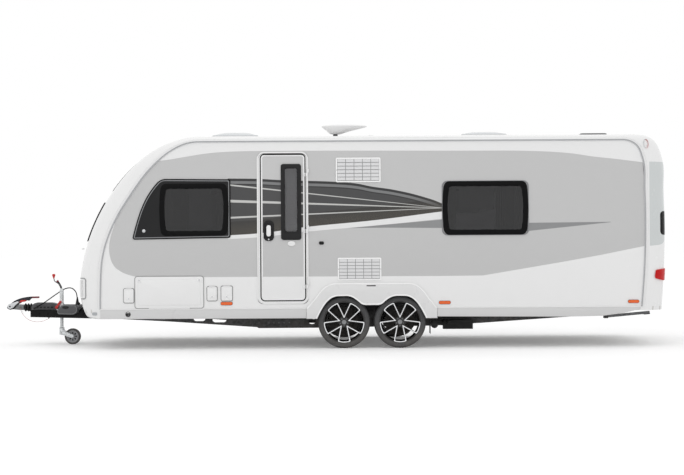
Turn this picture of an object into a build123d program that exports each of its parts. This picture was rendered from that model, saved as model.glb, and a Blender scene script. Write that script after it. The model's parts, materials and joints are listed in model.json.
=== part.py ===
from build123d import *
import math
import os

# Twin-axle travel caravan. Millimetres, +Z up, the hitch at -X and the rear at +X.
# The entrance door is on the -Y side. The tyres and the jockey wheel stand on Z = 0.

# Body shell
HALF_WIDTH = 1190
WALL = 32
FLOOR_BOTTOM = 435
FLOOR_TOP = 480
CORNER_DEPTH = 200
CROWN_HALF = 420
FRONT_JOINT_X = -1560
REAR_JOINT_X = 3480
RAIL_WIDTH = 20
RAIL_DEPTH = 18
VALANCE_BOTTOM = 372
SKIRT_TOP = 478
SKIRT_DEPTH = 12

# Running gear
AXLE_X = (180, 846)
WHEEL_R = 310
TYRE_WIDTH = 205
TYRE_OUTER_Y = 1150
RIM_R = 245
DRUM_R = 112
SPOKE_PAIRS = 5
ARM_REACH = 150
RAIL_Y = 590
STEEL = 5

# Entrance door
DOOR_X = (-828, -256)
DOOR_Z = (551, 2318)
DOOR_CORNER = 65
DOOR_GAP = 6
DOOR_HINGE = (-248, -1216)

# Drawbar and hitch
BALL_X = -4023
PLUG_AT = (-3158, -145)
SOCKET_R = 25.4
SOCKET_DEPTH = 30
BEAM_NOSE = (-3753, 50)
BEAM_ROOT = (-2690, 592)
BEAM_Z = (340, 430)
JOCKEY_X = -3360
JOCKEY_Y = -110
JOCKEY_TRAIL = 137
JOCKEY_R = 100

LEFT = -1
RIGHT = 1

# Side profile of the body, from the front foot over the roof to the rear foot.
# Odd rows are the middle of an arc, and between rows 8 and 9 the roof is straight.
# Columns: corner rail x, corner rail z, outer edge x, outer edge z, bow at the centre line
PROFILE = [
    (-2713, 435, -2925, 435, 70),
    (-2711, 700, -2980, 740, 80),
    (-2671, 1164, -2911, 1190, 90),
    (-2541, 1519, -2772, 1558, 90),
    (-2337, 1855, -2586, 1882, 80),
    (-2112, 2150, -2321, 2198, 60),
    (-1850, 2370, -2000, 2425, 45),
    (-1692, 2443, -1835, 2488, 38),
    (-1522, 2466, -1600, 2536, 33),
    (3500, 2462, 3560, 2536, 33),
    (3664, 2396, 3905, 2462, 36),
    (3732, 2250, 4003, 2253, 38),
    (3757, 1850, 4020, 1850, 38),
    (3764, 1400, 4030, 1400, 38),
    (3750, 940, 4020, 930, 38),
    (3712, 435, 3988, 435, 38),
]
ROOF_START = 8

os.makedirs("parts", exist_ok=True)


def save(name, *solids):
    shapes = [s for part in solids for s in part.solids()]
    shape = shapes[0] if len(shapes) == 1 else Compound(children=shapes)
    export_step(shape, f"parts/{name}.step")


def block(x0, x1, y0, y1, z0, z1):
    centre = Pos((x0 + x1) / 2, (y0 + y1) / 2, (z0 + z1) / 2)
    return centre * Box(abs(x1 - x0), abs(y1 - y0), abs(z1 - z0))


def rod(start, end, radius):
    start, end = Vector(*start), Vector(*end)
    plane = Plane(origin=start, z_dir=end - start)
    return extrude(plane * Circle(radius), amount=(end - start).length)


def side_plane(y):
    return Plane(origin=(0, y, 0), x_dir=(1, 0, 0), z_dir=(0, -1, 0))


def side_plate(points, y0, y1):
    # Plate in the X-Z plane from a closed outline of corner points
    low, high = min(y0, y1), max(y0, y1)
    face = make_face(Polyline(*points, close=True))
    return extrude(side_plane(high) * face, amount=high - low)


def side_panel(x0, x1, z0, z1, y0, y1, corner):
    # Rectangular plate with rounded corners in the X-Z plane
    low, high = min(y0, y1), max(y0, y1)
    face = Pos((x0 + x1) / 2, (z0 + z1) / 2) * RectangleRounded(x1 - x0, z1 - z0, corner)
    return extrude(side_plane(high) * face, amount=high - low)


def mirrored(part):
    return mirror(part, about=Plane.XZ)


def profile_points(spread, bow, inset, foot_z):
    # Points between the corner rail (spread 0) and the outer edge (spread 1)
    points = []
    last = len(PROFILE) - 1
    for i, (rail_x, rail_z, edge_x, edge_z, bow_out) in enumerate(PROFILE):
        before, after = PROFILE[max(i - 1, 0)], PROFILE[min(i + 1, last)]
        dx, dz = after[2] - before[2], after[3] - before[3]
        if i in (0, last):
            dx, dz = 0, 1 if i == 0 else -1
        if i in (ROOF_START, ROOF_START + 1):
            dx, dz = 1, 0
        length = math.hypot(dx, dz)
        out = bow * bow_out - inset
        x = rail_x + spread * (edge_x - rail_x) - dz / length * out
        z = rail_z + spread * (edge_z - rail_z) + dx / length * out
        points.append((x, foot_z if i in (0, last) else z))
    return points


def profile_edges(points, y):
    at = [Vector(x, y, z) for x, z in points]
    edges = []
    for i in range(0, ROOF_START, 2):
        edges.append(ThreePointArc(at[i], at[i + 1], at[i + 2]))
    edges.append(Line(at[ROOF_START], at[ROOF_START + 1]))
    for i in range(ROOF_START + 1, len(at) - 1, 2):
        edges.append(ThreePointArc(at[i], at[i + 1], at[i + 2]))
    edges.append(Line(at[-1], at[0]))
    return edges


def profile_face(points, y):
    return make_face(profile_edges(points, y))


def body_loft(inset, foot_z):
    # The shell's cross sections round from the flat sides to the bowed middle
    sections = []
    half = HALF_WIDTH - inset
    depth = CORNER_DEPTH - inset / 2
    rows = []
    for angle in (0, 30, 60, 90):
        turn = math.radians(angle)
        rows.append((half - depth * (1 - math.cos(turn)), math.sin(turn), 0))
    rows.append((CROWN_HALF, 1, 1))
    both = [(-y, spread, bow) for y, spread, bow in rows]
    both += [(y, spread, bow) for y, spread, bow in reversed(rows)]
    for y, spread, bow in both:
        sections.append(profile_face(profile_points(spread, bow, inset, foot_z), y))
    return loft(sections, ruled=True)


def profile_slab(inset, foot_z, y0, y1):
    low, high = min(y0, y1), max(y0, y1)
    face = profile_face(profile_points(0, 0, inset, foot_z), high)
    return extrude(face, amount=high - low, dir=(0, -1, 0))


# Body shell, cut into its real panels
outer = body_loft(0, FLOOR_BOTTOM)
inner = body_loft(WALL, FLOOR_TOP)
proud = body_loft(-14, FLOOR_BOTTOM)
recessed = body_loft(10, FLOOR_BOTTOM)
FAR = 5000
side_zone = {
    side: profile_slab(0, FLOOR_BOTTOM, side * HALF_WIDTH, side * (HALF_WIDTH - WALL))
    for side in (LEFT, RIGHT)
}
above_floor = block(-FAR, FAR, -FAR, FAR, FLOOR_TOP, FAR)
shell = (outer - inner - side_zone[LEFT] - side_zone[RIGHT]) & above_floor
front_panel = shell & block(-FAR, FRONT_JOINT_X, -FAR, FAR, 0, FAR)
roof_panel = shell & block(FRONT_JOINT_X, REAR_JOINT_X, -FAR, FAR, 2000, FAR)
rear_panel = shell & block(REAR_JOINT_X, FAR, -FAR, FAR, 0, FAR)
floor_panel = outer & block(-FAR, FAR, -FAR, FAR, 0, FLOOR_TOP)
for side in (LEFT, RIGHT):
    floor_panel -= profile_slab(0, FLOOR_BOTTOM, side * HALF_WIDTH, side * (HALF_WIDTH - WALL))

# Front valance, the lip of the front panel below the floor
# Columns: x, half width
VALANCE_PLAN = [(-2713, 1190), (-2819, 1163), (-2897, 1090), (-2925, 990), (-2995, 420)]
valance_line = [(x, -y) for x, y in VALANCE_PLAN] + [(x, y) for x, y in reversed(VALANCE_PLAN)]
valance_top = make_face(Polyline(*valance_line, close=True))
valance_low = Pos(45, 0) * scale(valance_top, by=(0.995, 0.985, 1))
valance = loft([Pos(0, 0, FLOOR_BOTTOM) * valance_top, Pos(0, 0, VALANCE_BOTTOM) * valance_low])
valance_core = loft([
    Pos(WALL - 45, 0, FLOOR_BOTTOM + 1) * scale(valance_low, by=(0.995, 0.97, 1)),
    Pos(WALL, 0, VALANCE_BOTTOM - 1) * scale(valance_low, by=(0.995, 0.97, 1)),
])
valance = valance - valance_core - block(-2716, 0, -FAR, FAR, 0, FAR)


# Wheel arch openings and housings
ARCH_X = (-160, 1187)
ARCH_TOP = 690
# The wall's opening stays under the spat's sloping corners
WALL_ARCH = [
    (-160, 300), (-160, 560), (-90, 660), (-40, ARCH_TOP),
    (1067, ARCH_TOP), (1117, 660), (1187, 560), (1187, 300),
]
BOX_Y = 905
SHEET = 6


def wheel_box(side):
    y_in, y_out = side * BOX_Y, side * (HALF_WIDTH - WALL)
    whole = block(ARCH_X[0], ARCH_X[1], y_in, y_out, FLOOR_BOTTOM, ARCH_TOP)
    low = block(
        ARCH_X[0] + SHEET, ARCH_X[1] - SHEET,
        side * (BOX_Y + SHEET), y_out + side, FLOOR_BOTTOM - 1, ARCH_TOP - SHEET,
    )
    return whole - low


for side in (LEFT, RIGHT):
    floor_panel -= block(
        ARCH_X[0], ARCH_X[1], side * BOX_Y, side * (HALF_WIDTH + 10), 0, FLOOR_TOP + 1
    )

# Side windows: frame outline and pane outline on the wall
# Columns: side, pane x0, pane x1, pane z0, pane z1
SIDE_WINDOWS = [
    (LEFT, -2006, -1181, 1346, 1969),
    (LEFT, 1354, 2375, 1341, 1979),
    (RIGHT, -2006, -1181, 1346, 1969),
    (RIGHT, -560, 180, 1420, 1969),
    (RIGHT, 1354, 2375, 1341, 1979),
]
WINDOW_LAP = 22
WINDOW_CORNER = 62
FRAME_DEPTH = 8
PANE_DEPTH = 7

# Hatches and flaps in the side walls
# Columns: node, side, x0, x1, z0, z1, corner, hinge edge (-1 bottom, 1 top)
HATCHES = [
    ("side_locker_hatch", LEFT, -2297, -1489, 493, 866, 28, -1),
    ("water_inlet_flap", LEFT, -2432, -2316, 560, 724, 16, 1),
    ("mains_inlet_flap", LEFT, -1442, -1327, 579, 743, 16, 1),
    ("gas_outlet_flap", LEFT, -1275, -1146, 578, 748, 16, 1),
    ("toilet_hatch", RIGHT, 2680, 3090, 560, 930, 28, -1),
]
HATCH_GAP = 6
HATCH_PROUD = 10
HATCH_THICK = 40
FLAP_PROUD = 14
FLAP_SIZE = 200

side_walls = {}
for side in (LEFT, RIGHT):
    wall = side_zone[side]
    wall -= side_plate(WALL_ARCH, side * 1100, side * 1250)
    for where, x0, x1, z0, z1 in SIDE_WINDOWS:
        if where == side:
            wall -= side_panel(
                x0 + WINDOW_LAP, x1 - WINDOW_LAP, z0 + WINDOW_LAP, z1 - WINDOW_LAP,
                side * 1150, side * 1200, WINDOW_CORNER - WINDOW_LAP / 2,
            )
    for node, where, x0, x1, z0, z1, corner, edge in HATCHES:
        if where == side:
            wall -= side_panel(
                x0 - HATCH_GAP, x1 + HATCH_GAP, z0 - HATCH_GAP, z1 + HATCH_GAP,
                side * 1150, side * 1200, corner,
            )
    side_walls[side] = wall
door_hole = side_panel(
    DOOR_X[0] - DOOR_GAP - 10, DOOR_X[1] + DOOR_GAP + 10, DOOR_Z[0] - DOOR_GAP - 10,
    DOOR_Z[1] + DOOR_GAP + 10, -1150, -1200, DOOR_CORNER,
)
side_walls[LEFT] -= door_hole

# Windows in the bowed front and rear, following the shell's own surface
# Columns: x0, x1, half width, z0, z1
FRONT_WINDOWS = [(-3200, -2300, 860, 1290, 1760), (-2700, -1700, 520, 1905, 2290)]
REAR_WINDOW = (3900, 4200, 560, 1331, 1606)
BAND_LAP = 26


def band_window(x0, x1, half, z0, z1):
    region = block(x0, x1, -half, half, z0, z1)
    return (proud - recessed) & region


def band_hole(x0, x1, half, z0, z1):
    return block(x0, x1, -half + BAND_LAP, half - BAND_LAP, z0 + BAND_LAP, z1 - BAND_LAP)


def band_recess(x0, x1, half, z0, z1):
    return (outer - recessed) & block(x0, x1, -half, half, z0, z1)


for row in FRONT_WINDOWS:
    front_panel = front_panel - band_hole(*row) - band_recess(*row)
rear_panel = rear_panel - band_hole(*REAR_WINDOW) - band_recess(*REAR_WINDOW)

# Gas locker lid in the nose, hinged along its top edge
LID_HALF = 640
LID_Z = (690, 1190)
LID_GAP = 7
lid_zone = block(-FAR, -2800, -LID_HALF, LID_HALF, LID_Z[0], LID_Z[1])
gas_locker_lid = shell & lid_zone
front_panel -= block(
    -FAR, -2800, -LID_HALF - LID_GAP, LID_HALF + LID_GAP, LID_Z[0] - LID_GAP, LID_Z[1] + LID_GAP
)
LID_HINGE = (-3036, 1197)
for y in (-420, 420):
    knuckle = rod((LID_HINGE[0], y - 40, LID_HINGE[1]), (LID_HINGE[0], y + 40, LID_HINGE[1]), 8)
    strap = block(LID_HINGE[0] - 6, -2998, y - 30, y + 30, LID_Z[1] - 42, LID_Z[1] - 2)
    strap += block(LID_HINGE[0] - 6, LID_HINGE[0] + 6, y - 30, y + 30, LID_Z[1] - 42, LID_HINGE[1])
    gas_locker_lid = gas_locker_lid + (strap - outer) + knuckle

# Chest behind the lid
CHEST_X = -2640
CHEST_HALF = 1000
CHEST_TOP = (1215, 1233)
gas_locker_box = block(CHEST_X, CHEST_X + 15, -CHEST_HALF, CHEST_HALF, FLOOR_TOP, CHEST_TOP[1])
gas_locker_box += block(-FAR, CHEST_X, -CHEST_HALF, CHEST_HALF, *CHEST_TOP) & inner

save("floor_panel", floor_panel)
save("side_wall_left", side_walls[LEFT])
save("side_wall_right", side_walls[RIGHT])
save("roof_panel", roof_panel)
save("gas_locker_box", gas_locker_box)

# Corner rails over the joints, with the skirts and the wheel spats below them
ring_out = profile_points(0, 0, -RAIL_WIDTH / 2, FLOOR_BOTTOM)
ring_in = profile_points(0, 0, RAIL_WIDTH / 2, FLOOR_BOTTOM - 20)
rail_left = extrude(
    profile_face(ring_out, -HALF_WIDTH), amount=RAIL_DEPTH, dir=(0, -1, 0)
) - extrude(profile_face(ring_in, -HALF_WIDTH + 1), amount=RAIL_DEPTH + 2, dir=(0, -1, 0))
rail_left &= block(-FAR, FAR, -FAR, FAR, SKIRT_TOP + 4, FAR)
save("corner_rails", rail_left, mirrored(rail_left))

SPAT_X = (-266, 1287)
SPAT_OUTLINE = [
    (-266, 356), (-266, 480), (-173, 585), (-88, 705), (20, 777),
    (1006, 777), (1114, 705), (1199, 585), (1287, 480), (1287, 356),
]
SPAT_DEPTH = 32
# The opening's top line: two arches joined by a bridge between the wheels
ARCH_LINE = [
    (-149, 340), (-95, 454), (-23, 563), (63, 623), (256, 627), (339, 572), (400, 517),
    (621, 517), (676, 572), (762, 625), (950, 623), (1035, 563), (1107, 454), (1162, 340),
]
spat_left = side_plate(SPAT_OUTLINE, -HALF_WIDTH, -HALF_WIDTH - SPAT_DEPTH)
spat_left -= side_plate(ARCH_LINE, -1150, -1300)
spat_face = spat_left.faces().sort_by(Axis.Y)[0]
spat_left = chamfer(spat_face.outer_wire().edges().filter_by(lambda e: e.center().Z > 400), 10)
save("wheel_spats", spat_left, mirrored(spat_left))

FRONT_SKIRT = [(-2695, 366), (SPAT_X[0] - 2, 363), (SPAT_X[0] - 2, SKIRT_TOP), (-2695, SKIRT_TOP)]
REAR_SKIRT = [
    (SPAT_X[1] + 2, 376), (2809, 364), (3242, 370), (3499, 404), (3700, 450),
    (3700, SKIRT_TOP), (SPAT_X[1] + 2, SKIRT_TOP),
]
skirt_parts = []
for outline in (FRONT_SKIRT, REAR_SKIRT):
    plate = side_plate(outline, -HALF_WIDTH, -HALF_WIDTH - SKIRT_DEPTH)
    skirt_parts.append(plate)
steady_hole = rod((-2383, -1150, 421), (-2383, -1250, 421), 27)
skirt_parts[0] -= steady_hole
skirt_parts += [mirrored(part) for part in skirt_parts]
save("skirts", *skirt_parts)

# Entrance door, its frame, window and handle
frame_ring = side_panel(
    DOOR_X[0] - 24, DOOR_X[1] + 24, DOOR_Z[0] - 24, DOOR_Z[1] + 24,
    -HALF_WIDTH, -HALF_WIDTH - 12, DOOR_CORNER + 18,
)
frame_liner = side_panel(
    DOOR_X[0] - DOOR_GAP - 10, DOOR_X[1] + DOOR_GAP + 10, DOOR_Z[0] - DOOR_GAP - 10,
    DOOR_Z[1] + DOOR_GAP + 10, -HALF_WIDTH + WALL, -HALF_WIDTH, DOOR_CORNER,
)
door_space = side_panel(
    DOOR_X[0] - DOOR_GAP, DOOR_X[1] + DOOR_GAP, DOOR_Z[0] - DOOR_GAP, DOOR_Z[1] + DOOR_GAP,
    -1140, -1250, DOOR_CORNER + DOOR_GAP,
)
door_frame = frame_ring + frame_liner - door_space
door_leaf = side_panel(*DOOR_X, *DOOR_Z, -1162, -1198, DOOR_CORNER)
DOOR_PANE_X = (-562, -320)
DOOR_PANE_Z = (1293, 2195)
door_leaf -= side_panel(
    DOOR_PANE_X[0] + 40, DOOR_PANE_X[1] - 40, DOOR_PANE_Z[0] + 60, DOOR_PANE_Z[1] - 40,
    -1150, -1210, 22,
)
door_pane = side_panel(*DOOR_PANE_X, *DOOR_PANE_Z, -1198, -1206, 28)
HINGE_Z = (760, 1420, 2090)
HINGE_HALF = 45
hinge_x, hinge_y = DOOR_HINGE
for z in HINGE_Z:
    arm = block(DOOR_X[1] - 40, DOOR_X[1] - 2, hinge_y - 5, -1198, z - HINGE_HALF, z)
    arm += block(DOOR_X[1] - 4, hinge_x, hinge_y - 5, hinge_y + 5, z - HINGE_HALF, z)
    door_leaf += arm + rod((hinge_x, hinge_y, z - HINGE_HALF), (hinge_x, hinge_y, z), 6)
    stay = block(hinge_x, DOOR_X[1] + 24, hinge_y - 5, -1202, z + 1, z + HINGE_HALF)
    door_frame += stay + rod((hinge_x, hinge_y, z + 1), (hinge_x, hinge_y, z + HINGE_HALF), 6)
handle_body = side_panel(-769, -646, 1282, 1527, -1198, -1210, 30)
handle_grip = side_panel(-735, -680, 1310, 1500, -1210, -1232, 24)
save("door_frame", door_frame)
save("entrance_door", door_leaf)
save("door_window", door_pane)
save("door_handle", handle_body + handle_grip)

# Side windows
WINDOW_SURROUND = [
    (-2326, 1330), (-2310, 1307), (-1160, 1322), (-1160, 2018),
    (-1992, 2027), (-2120, 1878), (-2215, 1700), (-2282, 1500),
]
frames = []
panes = []
for side, x0, x1, z0, z1 in SIDE_WINDOWS:
    y_wall = side * HALF_WIDTH
    y_frame = side * (HALF_WIDTH + FRAME_DEPTH)
    if x0 < -2000:
        frame = side_plate(WINDOW_SURROUND, y_wall, y_frame)
    else:
        frame = side_panel(x0, x1, z0, z1, y_wall, y_frame, WINDOW_CORNER)
    frame -= side_panel(
        x0 + WINDOW_LAP, x1 - WINDOW_LAP, z0 + WINDOW_LAP, z1 - WINDOW_LAP,
        side * 1150, side * 1250, WINDOW_CORNER - WINDOW_LAP / 2,
    )
    frames.append(frame)
    pane = side_panel(x0, x1, z0, z1, y_frame, y_frame + side * PANE_DEPTH, WINDOW_CORNER)
    panes.append(pane)
save("window_frames", *frames)
save("window_panes", *panes)
save("end_windows", *[band_window(*row) for row in FRONT_WINDOWS + [REAR_WINDOW]])

# Curtains inside the end of each large side window
# Columns: x0, x1
CURTAIN_X = [(-1975, -1840), (-1330, -1205), (1385, 1520), (2210, 2345)]
curtains = []
for side in (LEFT, RIGHT):
    for x0, x1 in CURTAIN_X:
        curtains.append(block(x0, x1, side * 1128, side * 1146, 1330, 1990))
save("curtains", *curtains)

# Hatches and flaps, each a rounded panel in its own frame
inlet_boxes = []
for node, side, x0, x1, z0, z1, corner, edge in HATCHES:
    y_face = side * (HALF_WIDTH + HATCH_PROUD)
    thick = HATCH_THICK
    if x1 - x0 < FLAP_SIZE:
        y_face = side * (HALF_WIDTH + FLAP_PROUD)
        thick = 8
    panel = side_panel(x0, x1, z0, z1, y_face, y_face - side * thick, corner)
    inset = 36 if x1 - x0 > FLAP_SIZE else 16
    raised = side_panel(
        x0 + inset, x1 - inset, z0 + inset, z1 - inset, y_face, y_face + side * 4, corner
    )
    hinge_z = z1 + 1 if edge > 0 else z0 - 1
    hinge_out = y_face + side * 3
    length = (x1 - x0) * 0.6
    middle = (x0 + x1) / 2
    hinge_start = (middle - length / 2, hinge_out, hinge_z)
    knuckle = rod(hinge_start, (middle + length / 2, hinge_out, hinge_z), 5)
    save(node, panel + raised + knuckle)
    if x1 - x0 < FLAP_SIZE:
        pocket = side_panel(
            x0 - HATCH_GAP, x1 + HATCH_GAP, z0 - HATCH_GAP, z1 + HATCH_GAP,
            side * HALF_WIDTH, side * (HALF_WIDTH - 90), corner,
        )
        hollow = side_panel(
            x0 - HATCH_GAP + 4, x1 + HATCH_GAP - 4, z0 - HATCH_GAP + 4, z1 + HATCH_GAP - 4,
            side * 1250, side * (HALF_WIDTH - 84), corner - 4,
        )
        inlet_boxes.append(pocket - hollow)
save("inlet_boxes", *inlet_boxes)

# Refrigerator vents on the door side: a rim with slats and dividers
# Columns: x0, x1, z0, z1
VENTS = [(92, 624, 1974, 2266), (108, 626, 809, 1078)]
VENT_RIM = 16
SLATS = 6
DIVIDERS = 4
vents = []
for x0, x1, z0, z1 in VENTS:
    y_wall = -HALF_WIDTH
    vent = side_panel(x0, x1, z0, z1, y_wall, y_wall - 10, 14)
    vent -= side_panel(
        x0 + VENT_RIM, x1 - VENT_RIM, z0 + VENT_RIM, z1 - VENT_RIM, y_wall - 3, y_wall - 20, 4
    )
    pitch = (z1 - z0 - 2 * VENT_RIM) / SLATS
    for row in range(SLATS):
        z = z0 + VENT_RIM + pitch * (row + 0.35)
        vent += block(x0 + VENT_RIM, x1 - VENT_RIM, y_wall - 8, y_wall - 3, z, z + pitch * 0.5)
    span = (x1 - x0 - 2 * VENT_RIM) / (DIVIDERS + 1)
    for column in range(DIVIDERS):
        x = x0 + VENT_RIM + span * (column + 1)
        vent += block(x - 3, x + 3, y_wall - 9, y_wall - 3, z0 + VENT_RIM, z1 - VENT_RIM)
    vents.append(vent)
save("fridge_vents", *vents)

# Rooflights and the aerial on the crown of the roof
ROOF_CROWN = 2569
# Columns: x0, x1, half width, top z, centre y
ROOFLIGHTS = [
    (-1447, -864, 260, 2633, 0),
    (1652, 2234, 260, 2628, 0),
    (3120, 3440, 160, 2606, 0),
    (484, 575, 46, 2600, -150),
]
lights = []
for x0, x1, half, top, y in ROOFLIGHTS:
    base = Pos((x0 + x1) / 2, y, ROOF_CROWN) * RectangleRounded(x1 - x0, 2 * half, half * 0.3)
    dome = extrude(base, amount=top - ROOF_CROWN, taper=24)
    lights.append(dome)
save("rooflights", *lights)

MAST_X = 86
AERIAL_Y = -180
# Columns: z, centre x, half length, half width
AERIAL_RINGS = [
    (2611, 90, 66, 60), (2650, 130, 150, 120), (2690, 190, 262, 150),
    (2704, 197, 285, 160), (2724, 180, 170, 90),
]
rings = [
    Pos(x, AERIAL_Y, z) * Ellipse(long_half, wide_half)
    for z, x, long_half, wide_half in AERIAL_RINGS
]
aerial = loft(rings, ruled=True)
aerial += rod((MAST_X, AERIAL_Y, ROOF_CROWN), (MAST_X, AERIAL_Y, AERIAL_RINGS[0][0] + 1), 26)
aerial += rod((MAST_X, AERIAL_Y, ROOF_CROWN), (MAST_X, AERIAL_Y, ROOF_CROWN + 8), 60)
save("tv_aerial", aerial)

# Lamps, markers and grab handles
# Columns: x0, x1, z0, z1
AMBER_MARKERS = [(-1285, -1142, 523, 563), (1306, 1447, 520, 560), (3550, 3684, 521, 559)]
markers = []
for side in (LEFT, RIGHT):
    for x0, x1, z0, z1 in AMBER_MARKERS:
        markers.append(
            side_panel(x0, x1, z0, z1, side * HALF_WIDTH, side * (HALF_WIDTH + 12), 8)
        )
    high = (proud - outer) & block(3750, 3812, side * 1000, side * 1200, 2360, 2466)
    markers.append(high)
    low = (proud - outer) & block(-2840, -2724, side * 1050, side * 1250, 440, 500)
    markers.append(low)
save("marker_lamps", *markers)

lamps = []
for side in (LEFT, RIGHT):
    lamps.append((proud - outer) & block(3875, 4100, side * 700, side * 1180, 790, 925))
save("rear_lamps", *lamps)

handles = []
GRAB_Z = (608, 847)
GRAB_X = -2958
GRAB_Y = 1085
for side in (LEFT, RIGHT):
    z0, z1 = GRAB_Z
    bar = rod((GRAB_X, side * GRAB_Y, z0), (GRAB_X, side * GRAB_Y, z1), 13)
    for low in (z0, z1 - 34):
        bar += block(GRAB_X, GRAB_X + 130, side * GRAB_Y - 13, side * GRAB_Y + 13, low, low + 34)
    handles.append(bar - outer)
save("grab_handles", *handles)

# Drawbar: two channel beams from the chassis rails to the nose
beam_dx = BEAM_ROOT[0] - BEAM_NOSE[0]
beam_dy = BEAM_ROOT[1] - BEAM_NOSE[1]
beam_length = math.hypot(beam_dx, beam_dy)
beam_angle = math.degrees(math.atan2(beam_dy, beam_dx))
FLANGE = 42
beam_low, beam_high = BEAM_Z
channel = block(0, beam_length, -STEEL, 0, beam_low, beam_high)
channel += block(0, beam_length, -FLANGE, 0, beam_high - STEEL, beam_high)
channel += block(0, beam_length, -FLANGE, 0, beam_low, beam_low + STEEL)
beam_right = Pos(BEAM_NOSE[0], BEAM_NOSE[1], 0) * Rot(0, 0, beam_angle) * channel
nose_box = block(-3765, -3700, -50, 50, beam_low, beam_high)
nose_bore = rod((-3800, 0, 400), (-3600, 0, 400), 26)
a_frame = beam_right + mirrored(beam_right) + nose_box - nose_bore
a_frame &= block(-FAR, BEAM_ROOT[0], -FAR, FAR, 0, FAR)
a_frame += block(-3523, -3509, -150, -134, 328, beam_low)
save("a_frame", a_frame)

for side in (LEFT, RIGHT):
    valance -= block(-3100, -2716, side * 380, side * 600, 300, FLOOR_BOTTOM)
save("front_panel", front_panel, valance)
save("rear_panel", rear_panel)
save("gas_locker_lid", gas_locker_lid)

# Chassis rails with their lightening holes, cross members and outriggers
RAIL_TOP = FLOOR_BOTTOM
MOVER_X = 1450
MOVER_Z = 288
RAIL_LOWER = [
    (-2690, 345), (-2471, 331), (-1944, 302), (-883, 227), (-867, 215),
    (-157, 215), (1238, 233), (1850, 263), (2915, 332), (3600, 375),
]
# Columns: x0, x1, z0, z1
RAIL_HOLES = [(-1663, -1516, 306, 390), (-1430, -1259, 290, 390), (-255, -170, 262, 390)]
rail_outline = RAIL_LOWER + [(3600, RAIL_TOP), (-2690, RAIL_TOP)]
chassis = side_plate(rail_outline, RAIL_Y, RAIL_Y + STEEL)
flange_line = RAIL_LOWER + [(x, z + STEEL) for x, z in reversed(RAIL_LOWER)]
chassis += side_plate(flange_line, RAIL_Y - FLANGE, RAIL_Y + STEEL)
chassis += block(-2690, 3600, RAIL_Y - FLANGE, RAIL_Y + STEEL, RAIL_TOP - STEEL, RAIL_TOP)
for x0, x1, z0, z1 in RAIL_HOLES:
    chassis -= side_panel(x0, x1, z0, z1, RAIL_Y - 10, RAIL_Y + 10, 36)
for xc in AXLE_X:
    hub_x = xc - ARM_REACH
    chassis -= rod((hub_x, RAIL_Y - 60, 290), (hub_x, RAIL_Y + 20, 290), 58)
chassis -= rod((MOVER_X, RAIL_Y - 60, MOVER_Z), (MOVER_X, RAIL_Y + 20, MOVER_Z), 23)
chassis += mirrored(chassis)
CROSS_X = (-2600, -1200, 1500, 2800, 3560)
for x in CROSS_X:
    chassis += block(x - 20, x + 20, -RAIL_Y, RAIL_Y, RAIL_TOP - 45, RAIL_TOP)
OUTRIGGER_X = (-1750, -700, 1600, 2600)
OUTRIGGER_Y = 1140
for x in OUTRIGGER_X:
    for side in (LEFT, RIGHT):
        y_in, y_out = side * (RAIL_Y + STEEL), side * OUTRIGGER_Y
        chassis += block(x - 15, x + 15, y_in, y_out, RAIL_TOP - 40, RAIL_TOP)

# Torsion axles: tube, trailing arms, brake backplates and stub spindles
HUB_Z = WHEEL_R
TUBE_Z = 290
ARM_Y = 870
axles = []
for xc in AXLE_X:
    tube_x = xc - ARM_REACH
    axle = rod((tube_x, -ARM_Y, TUBE_Z), (tube_x, ARM_Y, TUBE_Z), 50)
    for side in (LEFT, RIGHT):
        arm = side_plate(
            [(tube_x - 45, TUBE_Z - 40), (tube_x + 45, TUBE_Z - 50), (xc + 40, HUB_Z - 34),
             (xc + 40, HUB_Z + 34), (tube_x + 45, TUBE_Z + 50), (tube_x - 45, TUBE_Z + 40)],
            side * ARM_Y, side * (ARM_Y + 34),
        )
        plate = rod((xc, side * (ARM_Y + 34), HUB_Z), (xc, side * (ARM_Y + 42), HUB_Z), DRUM_R + 2)
        stub = rod((xc, side * (ARM_Y + 34), HUB_Z), (xc, side * 1010, HUB_Z), 20)
        axle += arm + plate + stub
    axles.append(axle)
save("axles", *axles)

# Road wheels: tyre, and rim with its brake drum
mid_y = TYRE_OUTER_Y - TYRE_WIDTH / 2
BEAD_R = RIM_R - 6
# Tyre section, columns: distance from the wheel's middle plane, radius
TYRE_SECTION = [
    (-88, BEAD_R), (-100, BEAD_R + 20), (-102.5, 276), (-96, 296), (-84, 306), (-60, WHEEL_R),
    (60, WHEEL_R), (84, 306), (96, 296), (102.5, 276), (100, BEAD_R + 20), (88, BEAD_R),
    (72, BEAD_R), (80, 262), (70, 292), (-70, 292), (-80, 262), (-72, BEAD_R),
]
# Rim barrel section, same columns
SEAT_R = BEAD_R - 0.3
BARREL_SECTION = [
    (-89, SEAT_R), (-62, SEAT_R), (-48, 226), (8, 226), (24, SEAT_R), (89, SEAT_R),
    (95, RIM_R + 4), (99, RIM_R + 4), (99, 232), (22, 230), (6, 218), (-50, 218),
    (-64, 230), (-99, 232), (-99, RIM_R + 4), (-95, RIM_R + 4),
]
SPOKE_SPREAD = 19
SPOKE_TIP = 234
HUB_FACE = 78


def wheel_ring(section, xc, side):
    points = [(offset, radius) for offset, radius in section]
    face = make_face(Polyline(*points, close=True))
    # Local X runs along the axle and local Y is the radius
    plane = Plane(origin=(xc, side * mid_y, HUB_Z), x_dir=(0, side, 0), z_dir=(1, 0, 0))
    axis = Axis((xc, side * mid_y, HUB_Z), (0, 1, 0))
    return revolve(plane * face, axis)


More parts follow.
